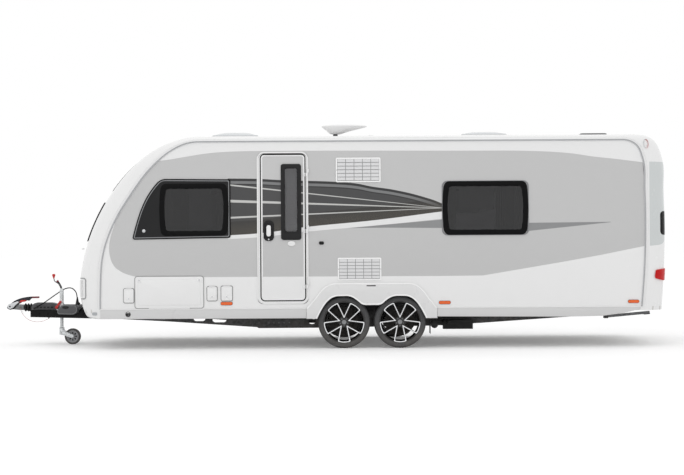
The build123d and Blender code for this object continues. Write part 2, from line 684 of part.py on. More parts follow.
def spoke_arm(centre_angle, lean):
    # One arm of a V, from near the hub out to the barrel
    root = math.radians(centre_angle + lean * 4)
    tip = math.radians(centre_angle + lean * SPOKE_SPREAD)
    x0, z0 = 50 * math.cos(root), 50 * math.sin(root)
    x1, z1 = SPOKE_TIP * math.cos(tip), SPOKE_TIP * math.sin(tip)
    length = math.hypot(x1 - x0, z1 - z0)
    nx, nz = -(z1 - z0) / length, (x1 - x0) / length
    return [
        (x0 + nx * 13, z0 + nz * 13), (x0 - nx * 13, z0 - nz * 13),
        (x1 - nx * 10, z1 - nz * 10), (x1 + nx * 10, z1 + nz * 10),
    ]


def road_rim(xc, side):
    rim = wheel_ring(BARREL_SECTION, xc, side)
    face_y = side * (mid_y + HUB_FACE)
    for pair in range(SPOKE_PAIRS):
        for lean in (-1, 1):
            corners = [(xc + x, HUB_Z + z) for x, z in spoke_arm(18 + 72 * pair, lean)]
            rim += side_plate(corners, face_y, face_y - side * 30)
    rim += rod((xc, face_y - side * 42, HUB_Z), (xc, face_y - side * 2, HUB_Z), 66)
    rim += rod((xc, face_y - side * 3, HUB_Z), (xc, face_y + side * 4, HUB_Z), 28)
    drum = rod((xc, side * (ARM_Y + 46), HUB_Z), (xc, face_y - side * 42.5, HUB_Z), DRUM_R)
    drum -= rod((xc, side * (ARM_Y + 45), HUB_Z), (xc, side * 1012, HUB_Z), 22)
    return rim, drum


WHEELS = [
    ("left_front", LEFT, AXLE_X[0]), ("left_rear", LEFT, AXLE_X[1]),
    ("right_front", RIGHT, AXLE_X[0]), ("right_rear", RIGHT, AXLE_X[1]),
]
for name, side, xc in WHEELS:
    save(f"tyre_{name}", wheel_ring(TYRE_SECTION, xc, side))
    save(f"rim_{name}", *road_rim(xc, side))

# Mover motors on their cross tube, and mud flaps behind the wheels
mover = rod((MOVER_X, -900, MOVER_Z), (MOVER_X, 900, MOVER_Z), 22)
for side in (LEFT, RIGHT):
    mover += block(1384, 1744, side * 620, side * 760, 200, 310)
    mover += rod((1260, side * 960, 270), (1260, side * 1060, 270), 42)
    mover += rod((1260, side * 740, 270), (1260, side * 965, 270), 16)
    mover += block(1240, 1400, side * 700, side * 740, 245, 295)
save("mover_units", mover)
housings = [wheel_box(LEFT), wheel_box(RIGHT)]
for side in (LEFT, RIGHT):
    housings.append(block(1204, 1209, side * 950, side * 1150, 167, FLOOR_BOTTOM))
save("wheel_housings", *housings)

# Corner steadies: a channel leg on a pivot bracket, folded up under the floor
# Columns: pivot x, pivot z, foot x, foot z, half width
STEADIES = [
    ("steady_front", -1930, 345, -2440, 385, 800),
    ("steady_rear", 3350, 345, 3880, 392, 800),
]
brackets = []
for name, px, pz, fx, fz, y in STEADIES:
    for side, word in ((LEFT, "left"), (RIGHT, "right")):
        length = math.hypot(fx - px, fz - pz)
        angle = math.degrees(math.atan2(fz - pz, fx - px))
        leg = block(0, length, -22, 22, -16, 16) - block(-1, length - 4, -18, 18, -20, 12)
        leg += block(length - 70, length, -36, 36, -22, -16)
        leg += Rot(90, 0, 0) * Cylinder(14, 44)
        leg -= Rot(90, 0, 0) * Cylinder(8.1, 100)
        leg = Pos(px, side * y, pz) * Rot(0, -angle, 0) * leg
        save(f"{name}_{word}", leg)
        pin = rod((px, side * y - 40, pz), (px, side * y + 40, pz), 8)
        for edge in (-1, 1):
            cheek = side * y + edge * 30
            pin += block(px - 25, px + 25, cheek, cheek + edge * 5, pz - 22, RAIL_TOP)
        brackets.append(pin)
save("chassis_frame", chassis, *brackets)

# Coupling head, shaft with bellows, cover and levers
head = side_plate(
    [(-4060, 442), (-4061, 480), (-4040, 503), (-3990, 508), (-3960, 500), (-3880, 468),
     (-3850, 462), (-3850, 420), (-3900, 424), (-3985, 440)],
    -44, 44,
)
head = fillet(head.edges().filter_by(Axis.Z), 24)
head -= rod((BALL_X, 0, 430), (BALL_X, 0, 440 + SOCKET_DEPTH), SOCKET_R)
head += block(-3904, -3890, -50, -40, 448, 464)
save("coupling_head", head)
lever = side_plate(
    [(-4012, 510), (-4004, 556), (-3840, 572), (-3661, 590), (-3655, 572), (-3835, 550),
     (-3950, 532), (-3960, 503), (-3990, 509)],
    -24, 24,
)
shaft = rod((-3850, 0, 438), (-3842, 0, 436), 24)
bellows_section = [(0, 0)]
FOLDS = 6
fold_pitch = 74 / FOLDS
for i in range(FOLDS):
    bellows_section += [(i * fold_pitch, 40), ((i + 0.5) * fold_pitch, 50)]
bellows_section += [(FOLDS * fold_pitch, 40), (FOLDS * fold_pitch, 0)]
bellows_face = make_face(Polyline(*bellows_section, close=True))
bellows_plane = Plane(origin=(-3842, 0, 436), x_dir=(1, 0, -0.1), z_dir=(0, -1, 0))
bellows = revolve(bellows_plane * bellows_face, Axis((-3842, 0, 436), (1, 0, -0.1)))
bellows += rod((-3770, 0, 429), (-3640, 0, 400), 25)
bellows = (bellows + shaft) - head - nose_box
save("drawbar_bellows", bellows)
COVER_OUTLINE = [
    (-3750, 432), (-3750, 470), (-3700, 519), (-3480, 519), (-3422, 490), (-3422, 432),
]
COVER_INSIDE = [
    (-3740, 425), (-3740, 465), (-3695, 509), (-3485, 509), (-3432, 482), (-3432, 425),
]
cover = side_plate(COVER_OUTLINE, -80, 80) - side_plate(COVER_INSIDE, -72, 72)
cover -= rod((-3770, 0, 429), (-3640, 0, 400), 30)
cover += block(-3424, -3125, -70, 150, 434, 489)
plug_x, plug_y = PLUG_AT
holder = block(plug_x - 37, plug_x + 33, plug_y - 28, -60, 440, 489)
cover += holder - rod((plug_x, plug_y, 430), (plug_x, plug_y, 500), 22.3)
# Side pod over the near beam, in the beam's own direction
pod = block(426, 731, -36, -0.5, 384, 501) + block(426, 731, -36, 40, beam_high + 1, 501)
pod = fillet(pod.edges().filter_by(Axis.Y).group_by(Axis.Z)[-1], 30)
cover += Pos(BEAM_NOSE[0], -BEAM_NOSE[1], 0) * Rot(0, 0, -beam_angle) * pod
cover += rod((-3713, -98, 452), (-3738, -78, 440), 11) - side_plate(COVER_INSIDE, -72, 72)
save("hitch_cover", cover)
brake = rod((-3371, 0, 500), (-3384, 0, 720), 9) + rod((-3384, 0, 715), (-3434, 0, 796), 14)
brake += block(-3400, -3340, -10, 10, 489, 520)
save("hitch_levers", lever, brake)

# Jockey wheel: clamp and outer tube, inner tube, fork and wheel
clamp_y = JOCKEY_Y
outer_tube = rod((JOCKEY_X, clamp_y, 340), (JOCKEY_X, clamp_y, 681), 25)
outer_tube -= rod((JOCKEY_X, clamp_y, 330), (JOCKEY_X, clamp_y, 670), 21.5)
beam_y = -(BEAM_NOSE[1] + (JOCKEY_X - BEAM_NOSE[0]) * beam_dy / beam_dx)
bracket = block(JOCKEY_X - 32, JOCKEY_X + 32, beam_y - 20, clamp_y + 34, 352, 420)
bracket -= rod((JOCKEY_X, clamp_y, 330), (JOCKEY_X, clamp_y, 680), 25)
beam_space = Pos(BEAM_NOSE[0], -BEAM_NOSE[1], 0) * Rot(0, 0, -beam_angle) * block(
    -10, beam_length, -200, STEEL, beam_low - 5, beam_high + 5
)
bracket -= beam_space
bracket += rod((JOCKEY_X - 2, clamp_y - 44, 410), (JOCKEY_X - 60, clamp_y - 44, 544), 9)
leg = rod((JOCKEY_X, clamp_y, 215), (JOCKEY_X, clamp_y, 560), 21)
crank = rod((JOCKEY_X, clamp_y, 680), (JOCKEY_X, clamp_y, 712), 20)
crank += rod((JOCKEY_X, clamp_y, 705), (JOCKEY_X, clamp_y, 760), 8)
crank += rod((JOCKEY_X, clamp_y, 752), (JOCKEY_X - 68, clamp_y, 775), 7)
crank += rod((JOCKEY_X - 60, clamp_y, 770), (JOCKEY_X - 98, clamp_y, 858), 13)
save("jockey_clamp", outer_tube + bracket + crank)
save("jockey_leg", leg)
wheel_x = JOCKEY_X + JOCKEY_TRAIL
fork = rod((JOCKEY_X, clamp_y, 196), (JOCKEY_X, clamp_y, 214), 30)
for edge in (-1, 1):
    cheek = clamp_y + edge * 36
    fork += side_plate(
        [(JOCKEY_X - 26, 214), (JOCKEY_X + 26, 214), (wheel_x + 18, 118), (wheel_x + 18, 88),
         (wheel_x - 18, 88), (JOCKEY_X - 20, 180)],
        cheek, cheek + edge * 5,
    )
fork += block(JOCKEY_X - 26, JOCKEY_X + 26, clamp_y - 41, clamp_y + 41, 206, 214)
fork += rod((wheel_x, clamp_y - 46, JOCKEY_R), (wheel_x, clamp_y + 46, JOCKEY_R), 8)
save("jockey_fork", fork)
# Jockey wheel section, columns: distance from the middle plane, radius
JOCKEY_SECTION = [
    (-28, 8.1), (-28, 24), (-10, 28), (-10, 60), (-26, 68), (-29, 88), (-20, JOCKEY_R),
    (20, JOCKEY_R), (29, 88), (26, 68), (10, 60), (10, 28), (28, 24), (28, 8.1),
]
jockey_face = make_face(Polyline(*JOCKEY_SECTION, close=True))
jockey_plane = Plane(origin=(wheel_x, clamp_y, JOCKEY_R), x_dir=(0, 1, 0), z_dir=(1, 0, 0))
jockey_wheel = revolve(jockey_plane * jockey_face, Axis((wheel_x, clamp_y, JOCKEY_R), (0, 1, 0)))
save("jockey_wheel", jockey_wheel)

# Cables at the hitch: runs of straight tube joined by arcs, as long as each corner allows


def cable(points, radius, label):
    at = [Vector(*point) for point in points]
    radii = []
    for before, here, after in zip(at, at[1:], at[2:]):
        run_in, run_out = here - before, after - here
        half_turn = math.radians(run_in.get_angle(run_out)) / 2
        radii.append(0.45 * min(run_in.length, run_out.length) / math.tan(half_turn))
    path = FilletPolyline(*points, radius=radii)
    start = Plane(origin=at[0], z_dir=at[1] - at[0])
    tube = sweep(start * Circle(radius), path=path)
    full = math.pi * radius ** 2 * path.length
    print(label, "radii", [round(r) for r in radii], "length", round(path.length))
    print(label, "volume share", round(tube.volume / full, 4))
    return tube


CABLE_R = 6.5
ELECTRIC_ROUTE = [
    (-3712, -98, 452), (-3645, -112, 484), (-3560, -118, 536), (-3475, -98, 598),
    (-3395, -72, 656), (-3320, -62, 702), (-3240, -78, 710), (-3178, -108, 660),
    (-3160, -141, 588), (-3158, -145, 520),
]
save("electric_cable", cable(ELECTRIC_ROUTE, CABLE_R, "electric_cable"))
plug = rod((plug_x, plug_y, 466), (plug_x, plug_y, 506), 22)
plug += rod((plug_x, plug_y, 505), (plug_x, plug_y, 520), 14)
save("parked_plug", plug)

BREAKAWAY_R = 2.2
BREAKAWAY_ROUTE = [
    (-3897, -50, 462), (-3880, -58, 418), (-3856, -66, 374), (-3822, -75, 336),
    (-3777, -85, 307), (-3724, -96, 289), (-3669, -108, 282), (-3613, -120, 289),
    (-3560, -131, 304), (-3516, -141, 328),
]
save("breakaway_cable", cable(BREAKAWAY_ROUTE, BREAKAWAY_R, "breakaway_cable"))
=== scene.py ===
"""Looks of the travel caravan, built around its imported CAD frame.

Pieces are modelled in millimetres in the row frame: +Z up, the hitch at -X, the door side at -Y.
Each finished piece is scaled to metres, with its object at the origin and its place in its mesh.
"""
import json
import logging
import math
from collections.abc import Callable, Sequence
from dataclasses import dataclass
from enum import Enum

import bmesh
import bpy
from mathutils import Matrix, Vector

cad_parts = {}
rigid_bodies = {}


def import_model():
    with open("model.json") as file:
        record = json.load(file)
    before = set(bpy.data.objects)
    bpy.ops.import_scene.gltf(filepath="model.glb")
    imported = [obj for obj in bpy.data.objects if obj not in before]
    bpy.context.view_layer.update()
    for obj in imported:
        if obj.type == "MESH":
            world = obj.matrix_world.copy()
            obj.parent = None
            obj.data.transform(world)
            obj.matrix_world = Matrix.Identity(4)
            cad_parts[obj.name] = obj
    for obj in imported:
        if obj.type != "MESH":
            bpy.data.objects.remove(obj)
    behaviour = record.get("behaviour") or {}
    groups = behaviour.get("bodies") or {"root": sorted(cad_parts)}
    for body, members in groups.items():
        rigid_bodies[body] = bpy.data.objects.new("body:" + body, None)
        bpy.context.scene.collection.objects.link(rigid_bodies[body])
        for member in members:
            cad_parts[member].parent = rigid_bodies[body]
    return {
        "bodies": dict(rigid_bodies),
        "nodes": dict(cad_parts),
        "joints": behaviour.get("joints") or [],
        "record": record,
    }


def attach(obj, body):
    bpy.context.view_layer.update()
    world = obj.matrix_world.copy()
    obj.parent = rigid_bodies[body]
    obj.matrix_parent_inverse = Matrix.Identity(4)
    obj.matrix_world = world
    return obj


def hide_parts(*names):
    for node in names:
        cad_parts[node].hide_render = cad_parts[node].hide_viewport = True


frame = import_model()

LOG = logging.getLogger("caravan")
MM = 0.001
CARAVAN = "caravan"

# Sizes that several pieces share, in millimetres
HALF_WIDTH = 1190.0
LID_HALF = 640
LID_HEIGHTS = (690, 1190)
PLUG_AT = (-3158.0, -145.0)
AXLES = {"front": 180.0, "rear": 846.0}
# The outer face of the side wall that has the door, across the caravan
FACE = -HALF_WIDTH

# Width of the soft rim of a painted edge, in metres
EDGE_SOFTNESS = 0.0015

Flat = tuple[float, float]
Point = tuple[float, float, float]
Box = tuple[float, float, float, float]
Colour = tuple[float, float, float, float]
Socket = bpy.types.NodeSocket


class Along(Enum):
    """The axis that a flat outline is pushed along, or that a section turns about."""

    X = 0
    Y = 1
    Z = 2

    def place(self, a: float, b: float, level: float) -> Vector:
        """The point (a, b) of a flat outline, at a level on this axis."""
        spots = {Along.X: (level, a, b), Along.Y: (a, level, b), Along.Z: (a, b, level)}
        return Vector(spots[self])

    def axis(self) -> Vector:
        """This axis as a unit vector."""
        return Vector([1.0 if i == self.value else 0.0 for i in range(3)])


class Side(Enum):
    """The two long sides of the caravan."""

    DOOR = -1
    FAR = 1


def srgb(red: float, green: float, blue: float) -> Colour:
    """A screen colour, 0 to 255 a channel, as the linear colour that a shader takes."""
    def linear(value: float) -> float:
        share = value / 255
        return share / 12.92 if share <= 0.04045 else ((share + 0.055) / 1.055) ** 2.4

    return linear(red), linear(green), linear(blue), 1.0


def toned(colour: Colour, share: float) -> Colour:
    """A colour made lighter or darker by a share of itself."""
    return tuple(min(1.0, part * share) for part in colour[:3]) + (1.0,)


class Graph:
    """Builds the node tree of one finish, on the piece's Object coordinates."""

    def __init__(self, name: str) -> None:
        self.material = bpy.data.materials.new(name)
        self.material.use_nodes = True
        self.tree = self.material.node_tree
        self.shader = self.tree.nodes["Principled BSDF"]
        self.place = self.node("ShaderNodeTexCoord").outputs["Object"]

    def node(self, kind: str, inputs: dict | None = None, **settings: object) -> bpy.types.Node:
        """Adds a node.

        Args:
            kind: The node's type name.
            inputs: Input name or number to a socket or a constant.
            settings: The node's own properties.

        Returns:
            The new node.
        """
        made = self.tree.nodes.new(kind)
        for key, value in settings.items():
            setattr(made, key, value)
        for key, value in (inputs or {}).items():
            self.feed(made.inputs[key], value)
        return made

    def feed(self, socket: Socket, value: object) -> None:
        """Links a socket, or sets its constant."""
        if isinstance(value, bpy.types.NodeSocket):
            self.tree.links.new(value, socket)
        else:
            socket.default_value = value

    def math(self, operation: str, a: object, b: object = 0.0) -> Socket:
        """One arithmetic step."""
        return self.node("ShaderNodeMath", {0: a, 1: b}, operation=operation).outputs[0]

    def spread(self, value: object, low: object, high: object, to_low: float = 0.0,
               to_high: float = 1.0, smooth: bool = False) -> Socket:
        """Maps a value from one span to another, held at the ends."""
        kind = "SMOOTHSTEP" if smooth else "LINEAR"
        inputs = {0: value, 1: low, 2: high, 3: to_low, 4: to_high}
        return self.node("ShaderNodeMapRange", inputs, interpolation_type=kind).outputs[0]

    def above(self, value: object, edge: object) -> Socket:
        """1 where value is over edge and 0 under it, with a soft rim."""
        return self.spread(self.math("SUBTRACT", value, edge), -EDGE_SOFTNESS, EDGE_SOFTNESS,
                           smooth=True)

    def both(self, *masks: Socket) -> Socket:
        """The product of several masks."""
        product = masks[0]
        for mask in masks[1:]:
            product = self.math("MULTIPLY", product, mask)
        return product

    def mix(self, share: object, under: object, over: object) -> Socket:
        """A colour between two colours."""
        made = self.node("ShaderNodeMix", data_type="RGBA")
        self.feed(made.inputs[0], share)
        self.feed(made.inputs[6], under)
        self.feed(made.inputs[7], over)
        return made.outputs[2]

    def noise(self, size: float, detail: float = 3.0) -> Socket:
        """Soft noise whose features are about size metres across."""
        moved = self.node("ShaderNodeMapping", {"Vector": self.place, "Scale": (1 / size,) * 3})
        made = self.node("ShaderNodeTexNoise", {"Vector": moved.outputs[0], "Scale": 1.0,
                                                "Detail": detail})
        return made.outputs[0]

    def wave(self, place: Socket, scale: float, heading: str) -> Socket:
        """Soft bands across a heading: X, Y, Z or DIAGONAL."""
        return self.node("ShaderNodeTexWave", {"Vector": place, "Scale": scale},
                         bands_direction=heading).outputs[1]

    def split(self) -> tuple[Socket, Socket, Socket]:
        """The place's X, Y and Z."""
        made = self.node("ShaderNodeSeparateXYZ", {0: self.place})
        return made.outputs[0], made.outputs[1], made.outputs[2]

    def line(self, value: Socket, points: Sequence[Flat], straight: bool = False) -> Socket:
        """A drawn curve.

        Args:
            value: The socket that runs along the curve, in metres.
            points: (along, height) pairs in millimetres, in order.
            straight: Whether the curve has straight runs between its points.

        Returns:
            The curve's height at value, in metres.
        """
        spots = [(a * MM, b * MM) for a, b in points]
        start, end = spots[0][0], spots[-1][0]
        low, high = min(b for _, b in spots), max(b for _, b in spots)
        share = self.spread(value, start, end)
        made = self.node("ShaderNodeFloatCurve", {"Value": share})
        drawn = made.mapping.curves[0]
        shares = [((a - start) / (end - start), (b - low) / (high - low)) for a, b in spots]
        drawn.points[0].location = shares[0]
        drawn.points[1].location = shares[-1]
        for spot in shares[1:-1]:
            drawn.points.new(*spot)
        for point in drawn.points:
            point.handle_type = "VECTOR" if straight else "AUTO_CLAMPED"
        made.mapping.update()
        return self.spread(made.outputs[0], 0.0, 1.0, low, high)

    def bump(self, height: Socket, depth: float) -> Socket:
        """A bumped normal, with its full height in metres."""
        return self.node("ShaderNodeBump", {"Height": height, "Distance": depth,
                                            "Strength": 1.0}).outputs[0]

    def tune(self, **values: object) -> None:
        """Sets or links inputs of the shader, named with low lines for spaces."""
        for name, value in values.items():
            self.feed(self.shader.inputs[name.replace("_", " ")], value)


@dataclass(frozen=True)
class Finish:
    """A surface finish, with colour drift, grain and a little road dust low down.

    Sizes are in metres, as the shader takes them.
    """

    name: str
    colour: Colour
    roughness: float = 0.4
    metallic: float = 0.0
    coat: float = 0.0
    drift: float = 0.03
    drift_size: float = 0.35
    grain: float = 0.0
    grain_size: float = 0.002
    dust: float = 0.0
    dust_top: float = 0.7
    shine: float = 0.5

    def base(self, g: Graph) -> Socket:
        """The colour before dust."""
        return g.mix(g.noise(self.drift_size), toned(self.colour, 1 - self.drift),
                     toned(self.colour, 1 + self.drift))

    def relief(self, g: Graph) -> Socket | None:
        """The bumped normal, or none for a smooth finish."""
        if not self.grain:
            return None
        return g.bump(g.noise(self.grain_size, 2.0), self.grain)

    def dress(self, g: Graph) -> None:
        """Sets what this finish adds to the common ones."""

    def material(self) -> bpy.types.Material:
        """The finish as a material, made once."""
        known = bpy.data.materials.get(self.name)
        if known:
            return known
        g = Graph(self.name)
        colour = self.base(g)
        _, _, height = g.split()
        if self.dust:
            fall = g.spread(height, 0.1, self.dust_top, self.dust, 0.0, smooth=True)
            patch = g.spread(g.noise(0.12, 5.0), 0.35, 0.7, 0.3, 1.0)
            colour = g.mix(g.both(fall, patch), colour, srgb(126, 118, 108))
        wear = g.spread(g.noise(self.drift_size * 0.4, 5.0), 0.3, 0.7,
                        self.roughness * 0.85, min(1.0, self.roughness * 1.15))
        g.tune(Base_Color=colour, Roughness=wear, Metallic=self.metallic,
               Specular_IOR_Level=self.shine, Coat_Weight=self.coat, Coat_Roughness=0.08)
        relief = self.relief(g)
        if relief is not None:
            g.tune(Normal=relief)
        self.dress(g)
        return g.material


# Lines of the side's colour zones. Columns: x, z in millimetres along the side
ZONE_TOP = ((-2130, 2226), (-2019, 2240), (-1881, 2257), (-1759, 2277), (-1636, 2297),
            (-1472, 2322), (-1268, 2341), (-1063, 2349), (-859, 2352), (137, 2350), (1559, 2341),
            (2270, 2337), (3218, 2254), (3760, 2188))
ZONE_FOOT = ((-2640, 860), (-254, 858), (1322, 855), (1832, 858), (2744, 1008), (3224, 1092),
             (3760, 1198))
# Front line of the zone. Columns: z, x
ZONE_NOSE = ((862, -2270), (869, -2296), (890, -2375), (934, -2472), (1003, -2551),
             (1093, -2591), (1211, -2605), (1318, -2591), (1466, -2545), (1622, -2484),
             (1855, -2345), (2168, -2095), (2262, -1990))
BAND_TOP = ((-1190, 2027), (-842, 2021), (-566, 2005), (78, 1981), (294, 1964), (529, 1920),
            (766, 1884), (1206, 1772), (1360, 1712))
BAND_FOOT = ((-1190, 1352), (-848, 1372), (-237, 1449), (529, 1520), (1360, 1622))
BORDER_FOOT = ((-1190, 1308), (-848, 1326), (-237, 1392), (529, 1456), (1360, 1535))
SPEAR_TOP = ((137, 1432), (700, 1470), (1360, 1526), (2375, 1480), (3354, 1486))
SPEAR_FOOT = ((137, 1429), (700, 1432), (1360, 1424), (2375, 1383), (3354, 1481))
# The band's inner lines fan out from the rear window
FAN_ROOT = (1360, 1662)
FAN_SPREAD = ((-1190, 1952, 9), (-1190, 1760, 16), (-1190, 1560, 11))


@dataclass(frozen=True)
class PaintedSide(Finish):
    """White side sheet with its grey zone, dark band, pale lines and spear."""

    zone: Colour = srgb(196, 196, 196)
    dark: Colour = srgb(34, 34, 35)

    def base(self, g: Graph) -> Socket:
        """The side's colours, laid over each other from the white sheet up."""
        x, _, z = g.split()
        white = super().base(g)
        # The zone is a little darker low down
        fade = g.spread(z, 0.85, 2.3, 0.975, 1.035)
        zone_colour = g.mix(fade, toned(self.zone, 0.0), toned(self.zone, 1.0))
        inside = g.both(g.above(x, g.line(z, ZONE_NOSE)), g.above(g.line(x, ZONE_TOP), z),
                        g.above(z, g.line(x, ZONE_FOOT, straight=True)))
        colour = g.mix(inside, white, zone_colour)
        top, foot = g.line(x, BAND_TOP), g.line(x, BAND_FOOT)
        span = g.both(g.above(x, -1.19), g.above(1.36, x))
        spear = g.both(g.above(x, 0.137), g.above(3.354, x),
                       g.above(g.line(x, SPEAR_TOP, True), z),
                       g.above(z, g.line(x, SPEAR_FOOT, True)))
        colour = g.mix(spear, colour, srgb(140, 141, 142))
        border = g.both(span, g.above(foot, z), g.above(z, g.line(x, BORDER_FOOT)))
        colour = g.mix(border, colour, srgb(232, 232, 232))
        band = g.both(span, g.above(top, z), g.above(z, foot))
        colour = g.mix(band, colour, self.band_colour(g, x, z, top, foot))
        return colour

    def band_colour(self, g: Graph, x: Socket, z: Socket, top: Socket, foot: Socket) -> Socket:
        """The dark band: a charcoal field, a woven field low down, and pale lines that fan out.

        Args:
            g: The node tree.
            x: Place along the side.
            z: Height.
            top: Height of the band's top edge.
            foot: Height of its foot.

        Returns:
            The band's colour.
        """
        depth = g.math("SUBTRACT", top, z)
        rise = g.math("SUBTRACT", z, foot)
        field_edge = g.both(g.above(depth, 0.075), g.above(rise, 0.16))
        colour = g.mix(field_edge, self.dark, srgb(61, 61, 62))
        steel = g.both(g.above(depth, 0.030), g.above(0.062, depth))
        colour = g.mix(steel, colour, srgb(118, 119, 120))
        weave = g.node("ShaderNodeTexChecker", {"Vector": self.turned(g, 0.8), "Scale": 120.0})
        fine = g.wave(self.turned(g, -0.8), 100.0, "DIAGONAL")
        threads = g.mix(g.both(weave.outputs[1], fine), srgb(26, 25, 25), srgb(112, 105, 92))
        share = g.spread(rise, 0.02, 0.24, 0.9, 0.0, smooth=True)
        colour = g.mix(share, colour, threads)
        for start, height, width in FAN_SPREAD:
            points = ((start, height), FAN_ROOT)
            middle = g.line(x, points, straight=True)
            half = g.spread(x, start * MM, FAN_ROOT[0] * MM, width * MM, 0.002)
            away = g.math("ABSOLUTE", g.math("SUBTRACT", z, middle))
            colour = g.mix(g.above(half, away), colour, srgb(196, 196, 194))
        return colour

    def turned(self, g: Graph, angle: float) -> Socket:
        """The place turned about the axis across the caravan."""
        inputs = {"Vector": g.place, "Rotation": (0, angle, 0)}
        return g.node("ShaderNodeMapping", inputs).outputs[0]

    def relief(self, g: Graph) -> Socket:
        """The faint ripple of a bonded sheet."""
        return g.bump(g.noise(0.25, 1.0), 0.0006)


@dataclass(frozen=True)
class PaintedRear(Finish):
    """White moulding with the grey wrap round the rear corners."""

    zone: Colour = srgb(204, 208, 208)
    start: float = 3.815

    def base(self, g: Graph) -> Socket:
        """White, with the wrap between its two lines."""
        x, y, z = g.split()
        reach = g.math("ABSOLUTE", y)
        foot = g.line(reach, ((0, 1292), (700, 1290), (1010, 1262), (1120, 1215), (1190, 1198)))
        top = g.line(reach, ((0, 2180), (860, 2181), (960, 2196), (1190, 2198)))
        inside = g.both(g.above(x, self.start), g.above(z, foot), g.above(top, z))
        return g.mix(inside, super().base(g), self.zone)


@dataclass(frozen=True)
class Galvanised(Finish):
    """Zinc with its flower-like spangle."""

    spangle: float = 0.018

    def base(self, g: Graph) -> Socket:
        """Cells of slightly different greys."""
        cells = g.node("ShaderNodeTexVoronoi", {"Vector": g.place, "Scale": 1 / self.spangle})
        tone = g.node("ShaderNodeSeparateColor", {0: cells.outputs["Color"]}).outputs[0]
        return g.mix(tone, toned(self.colour, 0.62), toned(self.colour, 1.25))


@dataclass(frozen=True)
class Tinted(Finish):
    """Dark tinted acrylic that light passes through."""

    def dress(self, g: Graph) -> None:
        """Sets how clear the acrylic is."""
        g.tune(Transmission_Weight=0.92, IOR=1.49)


@dataclass(frozen=True)
class Lens(Finish):
    """Moulded lamp lens with rows of small prisms."""

    pitch: float = 0.006

    def relief(self, g: Graph) -> Socket:
        """Rows of round ribs, up and across."""
        size = 1 / (self.pitch * math.tau)
        up, across = (g.wave(g.place, size, heading) for heading in "ZX")
        return g.bump(g.math("ADD", up, across), 0.0006)

    def dress(self, g: Graph) -> None:
        """Sets how much light passes the lens, and a faint painted glow in the lens's own colour."""
        # The emission is a faint painted glow in the lens's colour
        g.tune(Transmission_Weight=0.05, Emission_Color=self.colour, Emission_Strength=0.12)


@dataclass(frozen=True)
class Cloth(Finish):
    """Woven cloth, with its threads on the piece's own UV map."""

    thread: float = 0.0011

    def relief(self, g: Graph) -> Socket:
        """Crossing threads."""
        own = g.node("ShaderNodeUVMap", uv_map="weave").outputs[0]
        size = 1 / (self.thread * math.tau)
        warp, weft = (g.wave(own, size, heading) for heading in "XY")
        return g.bump(g.math("ADD", warp, weft), 0.0003)

    def dress(self, g: Graph) -> None:
        """Sets the cloth's sheen."""
        g.tune(Sheen_Weight=0.35)


WHITE = srgb(236, 236, 236)
GELCOAT = Finish("gelcoat", WHITE, 0.24, coat=0.4, drift=0.004, grain=0.0001, grain_size=0.006,
                 dust=0.03)
SIDE_PAINT = PaintedSide("side_paint", WHITE, 0.34, coat=0.15, drift=0.004, dust=0.03)
REAR_PAINT = PaintedRear("rear_paint", WHITE, 0.24, coat=0.4, drift=0.004, dust=0.03)
WHITE_PLASTIC = Finish("white_plastic", srgb(238, 238, 238), 0.36, drift=0.01, grain=0.0001,
                       grain_size=0.0015, dust=0.04)
SKIRT_PAINT = Finish("skirt_paint", srgb(212, 212, 212), 0.32, coat=0.2, drift=0.01, dust=0.10,
                     dust_top=0.5)
SPAT_PAINT = Finish("spat_paint", srgb(224, 224, 224), 0.30, coat=0.25, drift=0.01, dust=0.08,
                    dust_top=0.5)
LINING = Finish("lining", srgb(190, 184, 174), 0.7, drift=0.03, grain=0.0003, grain_size=0.004)
RAIL_ALLOY = Finish("rail_alloy", srgb(196, 197, 199), 0.38, metallic=0.25, drift=0.03,
                    grain=0.00008, grain_size=0.0006)
RAIL_INSERT = Finish("rail_insert", srgb(138, 139, 141), 0.6, drift=0.05, grain=0.0002, shine=0.3)
# Grey that stands for shade in hollows: painted shade in the grab handle recesses and behind the vent slats
RECESS_SHADE_GREY = Finish("recess_shade_grey", srgb(150, 151, 152), 0.5, drift=0.04, grain=0.0001)
SEAL = Finish("seal_rubber", srgb(15, 15, 16), 0.7, drift=0.12, grain=0.0002, grain_size=0.001,
              shine=0.12)
SOFT_SEAL = Finish("grey_seal", srgb(158, 158, 158), 0.7, drift=0.06, grain=0.0002,
                   grain_size=0.001, shine=0.2)
INK = Finish("window_ink", srgb(9, 9, 10), 0.3, drift=0.08, shine=0.1)
CHARCOAL = Finish("charcoal_panel", srgb(40, 40, 41), 0.35, drift=0.06, shine=0.12)
GLASS = Tinted("tinted_acrylic", srgb(92, 92, 94), 0.03, drift=0.03, shine=0.16)
PALE_GLASS = Tinted("pale_acrylic", srgb(168, 168, 170), 0.03, drift=0.03)
CURTAIN = Cloth("curtain_cloth", srgb(196, 193, 188), 0.9, drift=0.08, drift_size=0.05)
BLACK_PLASTIC = Finish("moulded_black", srgb(24, 24, 25), 0.5, drift=0.12, grain=0.0003,
                       grain_size=0.0012, dust=0.05, shine=0.3)
COVER_PLASTIC = Finish("cover_plastic", srgb(82, 82, 84), 0.5, drift=0.08, grain=0.0003,
                       grain_size=0.0014, dust=0.04, shine=0.35)
FRAME_BLACK = Finish("frame_coat", srgb(9, 9, 10), 0.42, metallic=0.1, drift=0.2,
                     drift_size=0.06, grain=0.0003, grain_size=0.003, dust=0.03, shine=0.15)
ZINC = Galvanised("zinc", srgb(112, 113, 115), 0.46, metallic=0.8, grain=0.0001, dust=0.1)
ZINC_DARK = Galvanised("weathered_zinc", srgb(74, 75, 77), 0.55, metallic=0.55, grain=0.0002,
                       dust=0.25, spangle=0.026)
BRIGHT_STEEL = Finish("bright_steel", srgb(205, 206, 208), 0.25, metallic=0.9, drift=0.05,
                      drift_size=0.02, grain=0.00005, grain_size=0.0008)
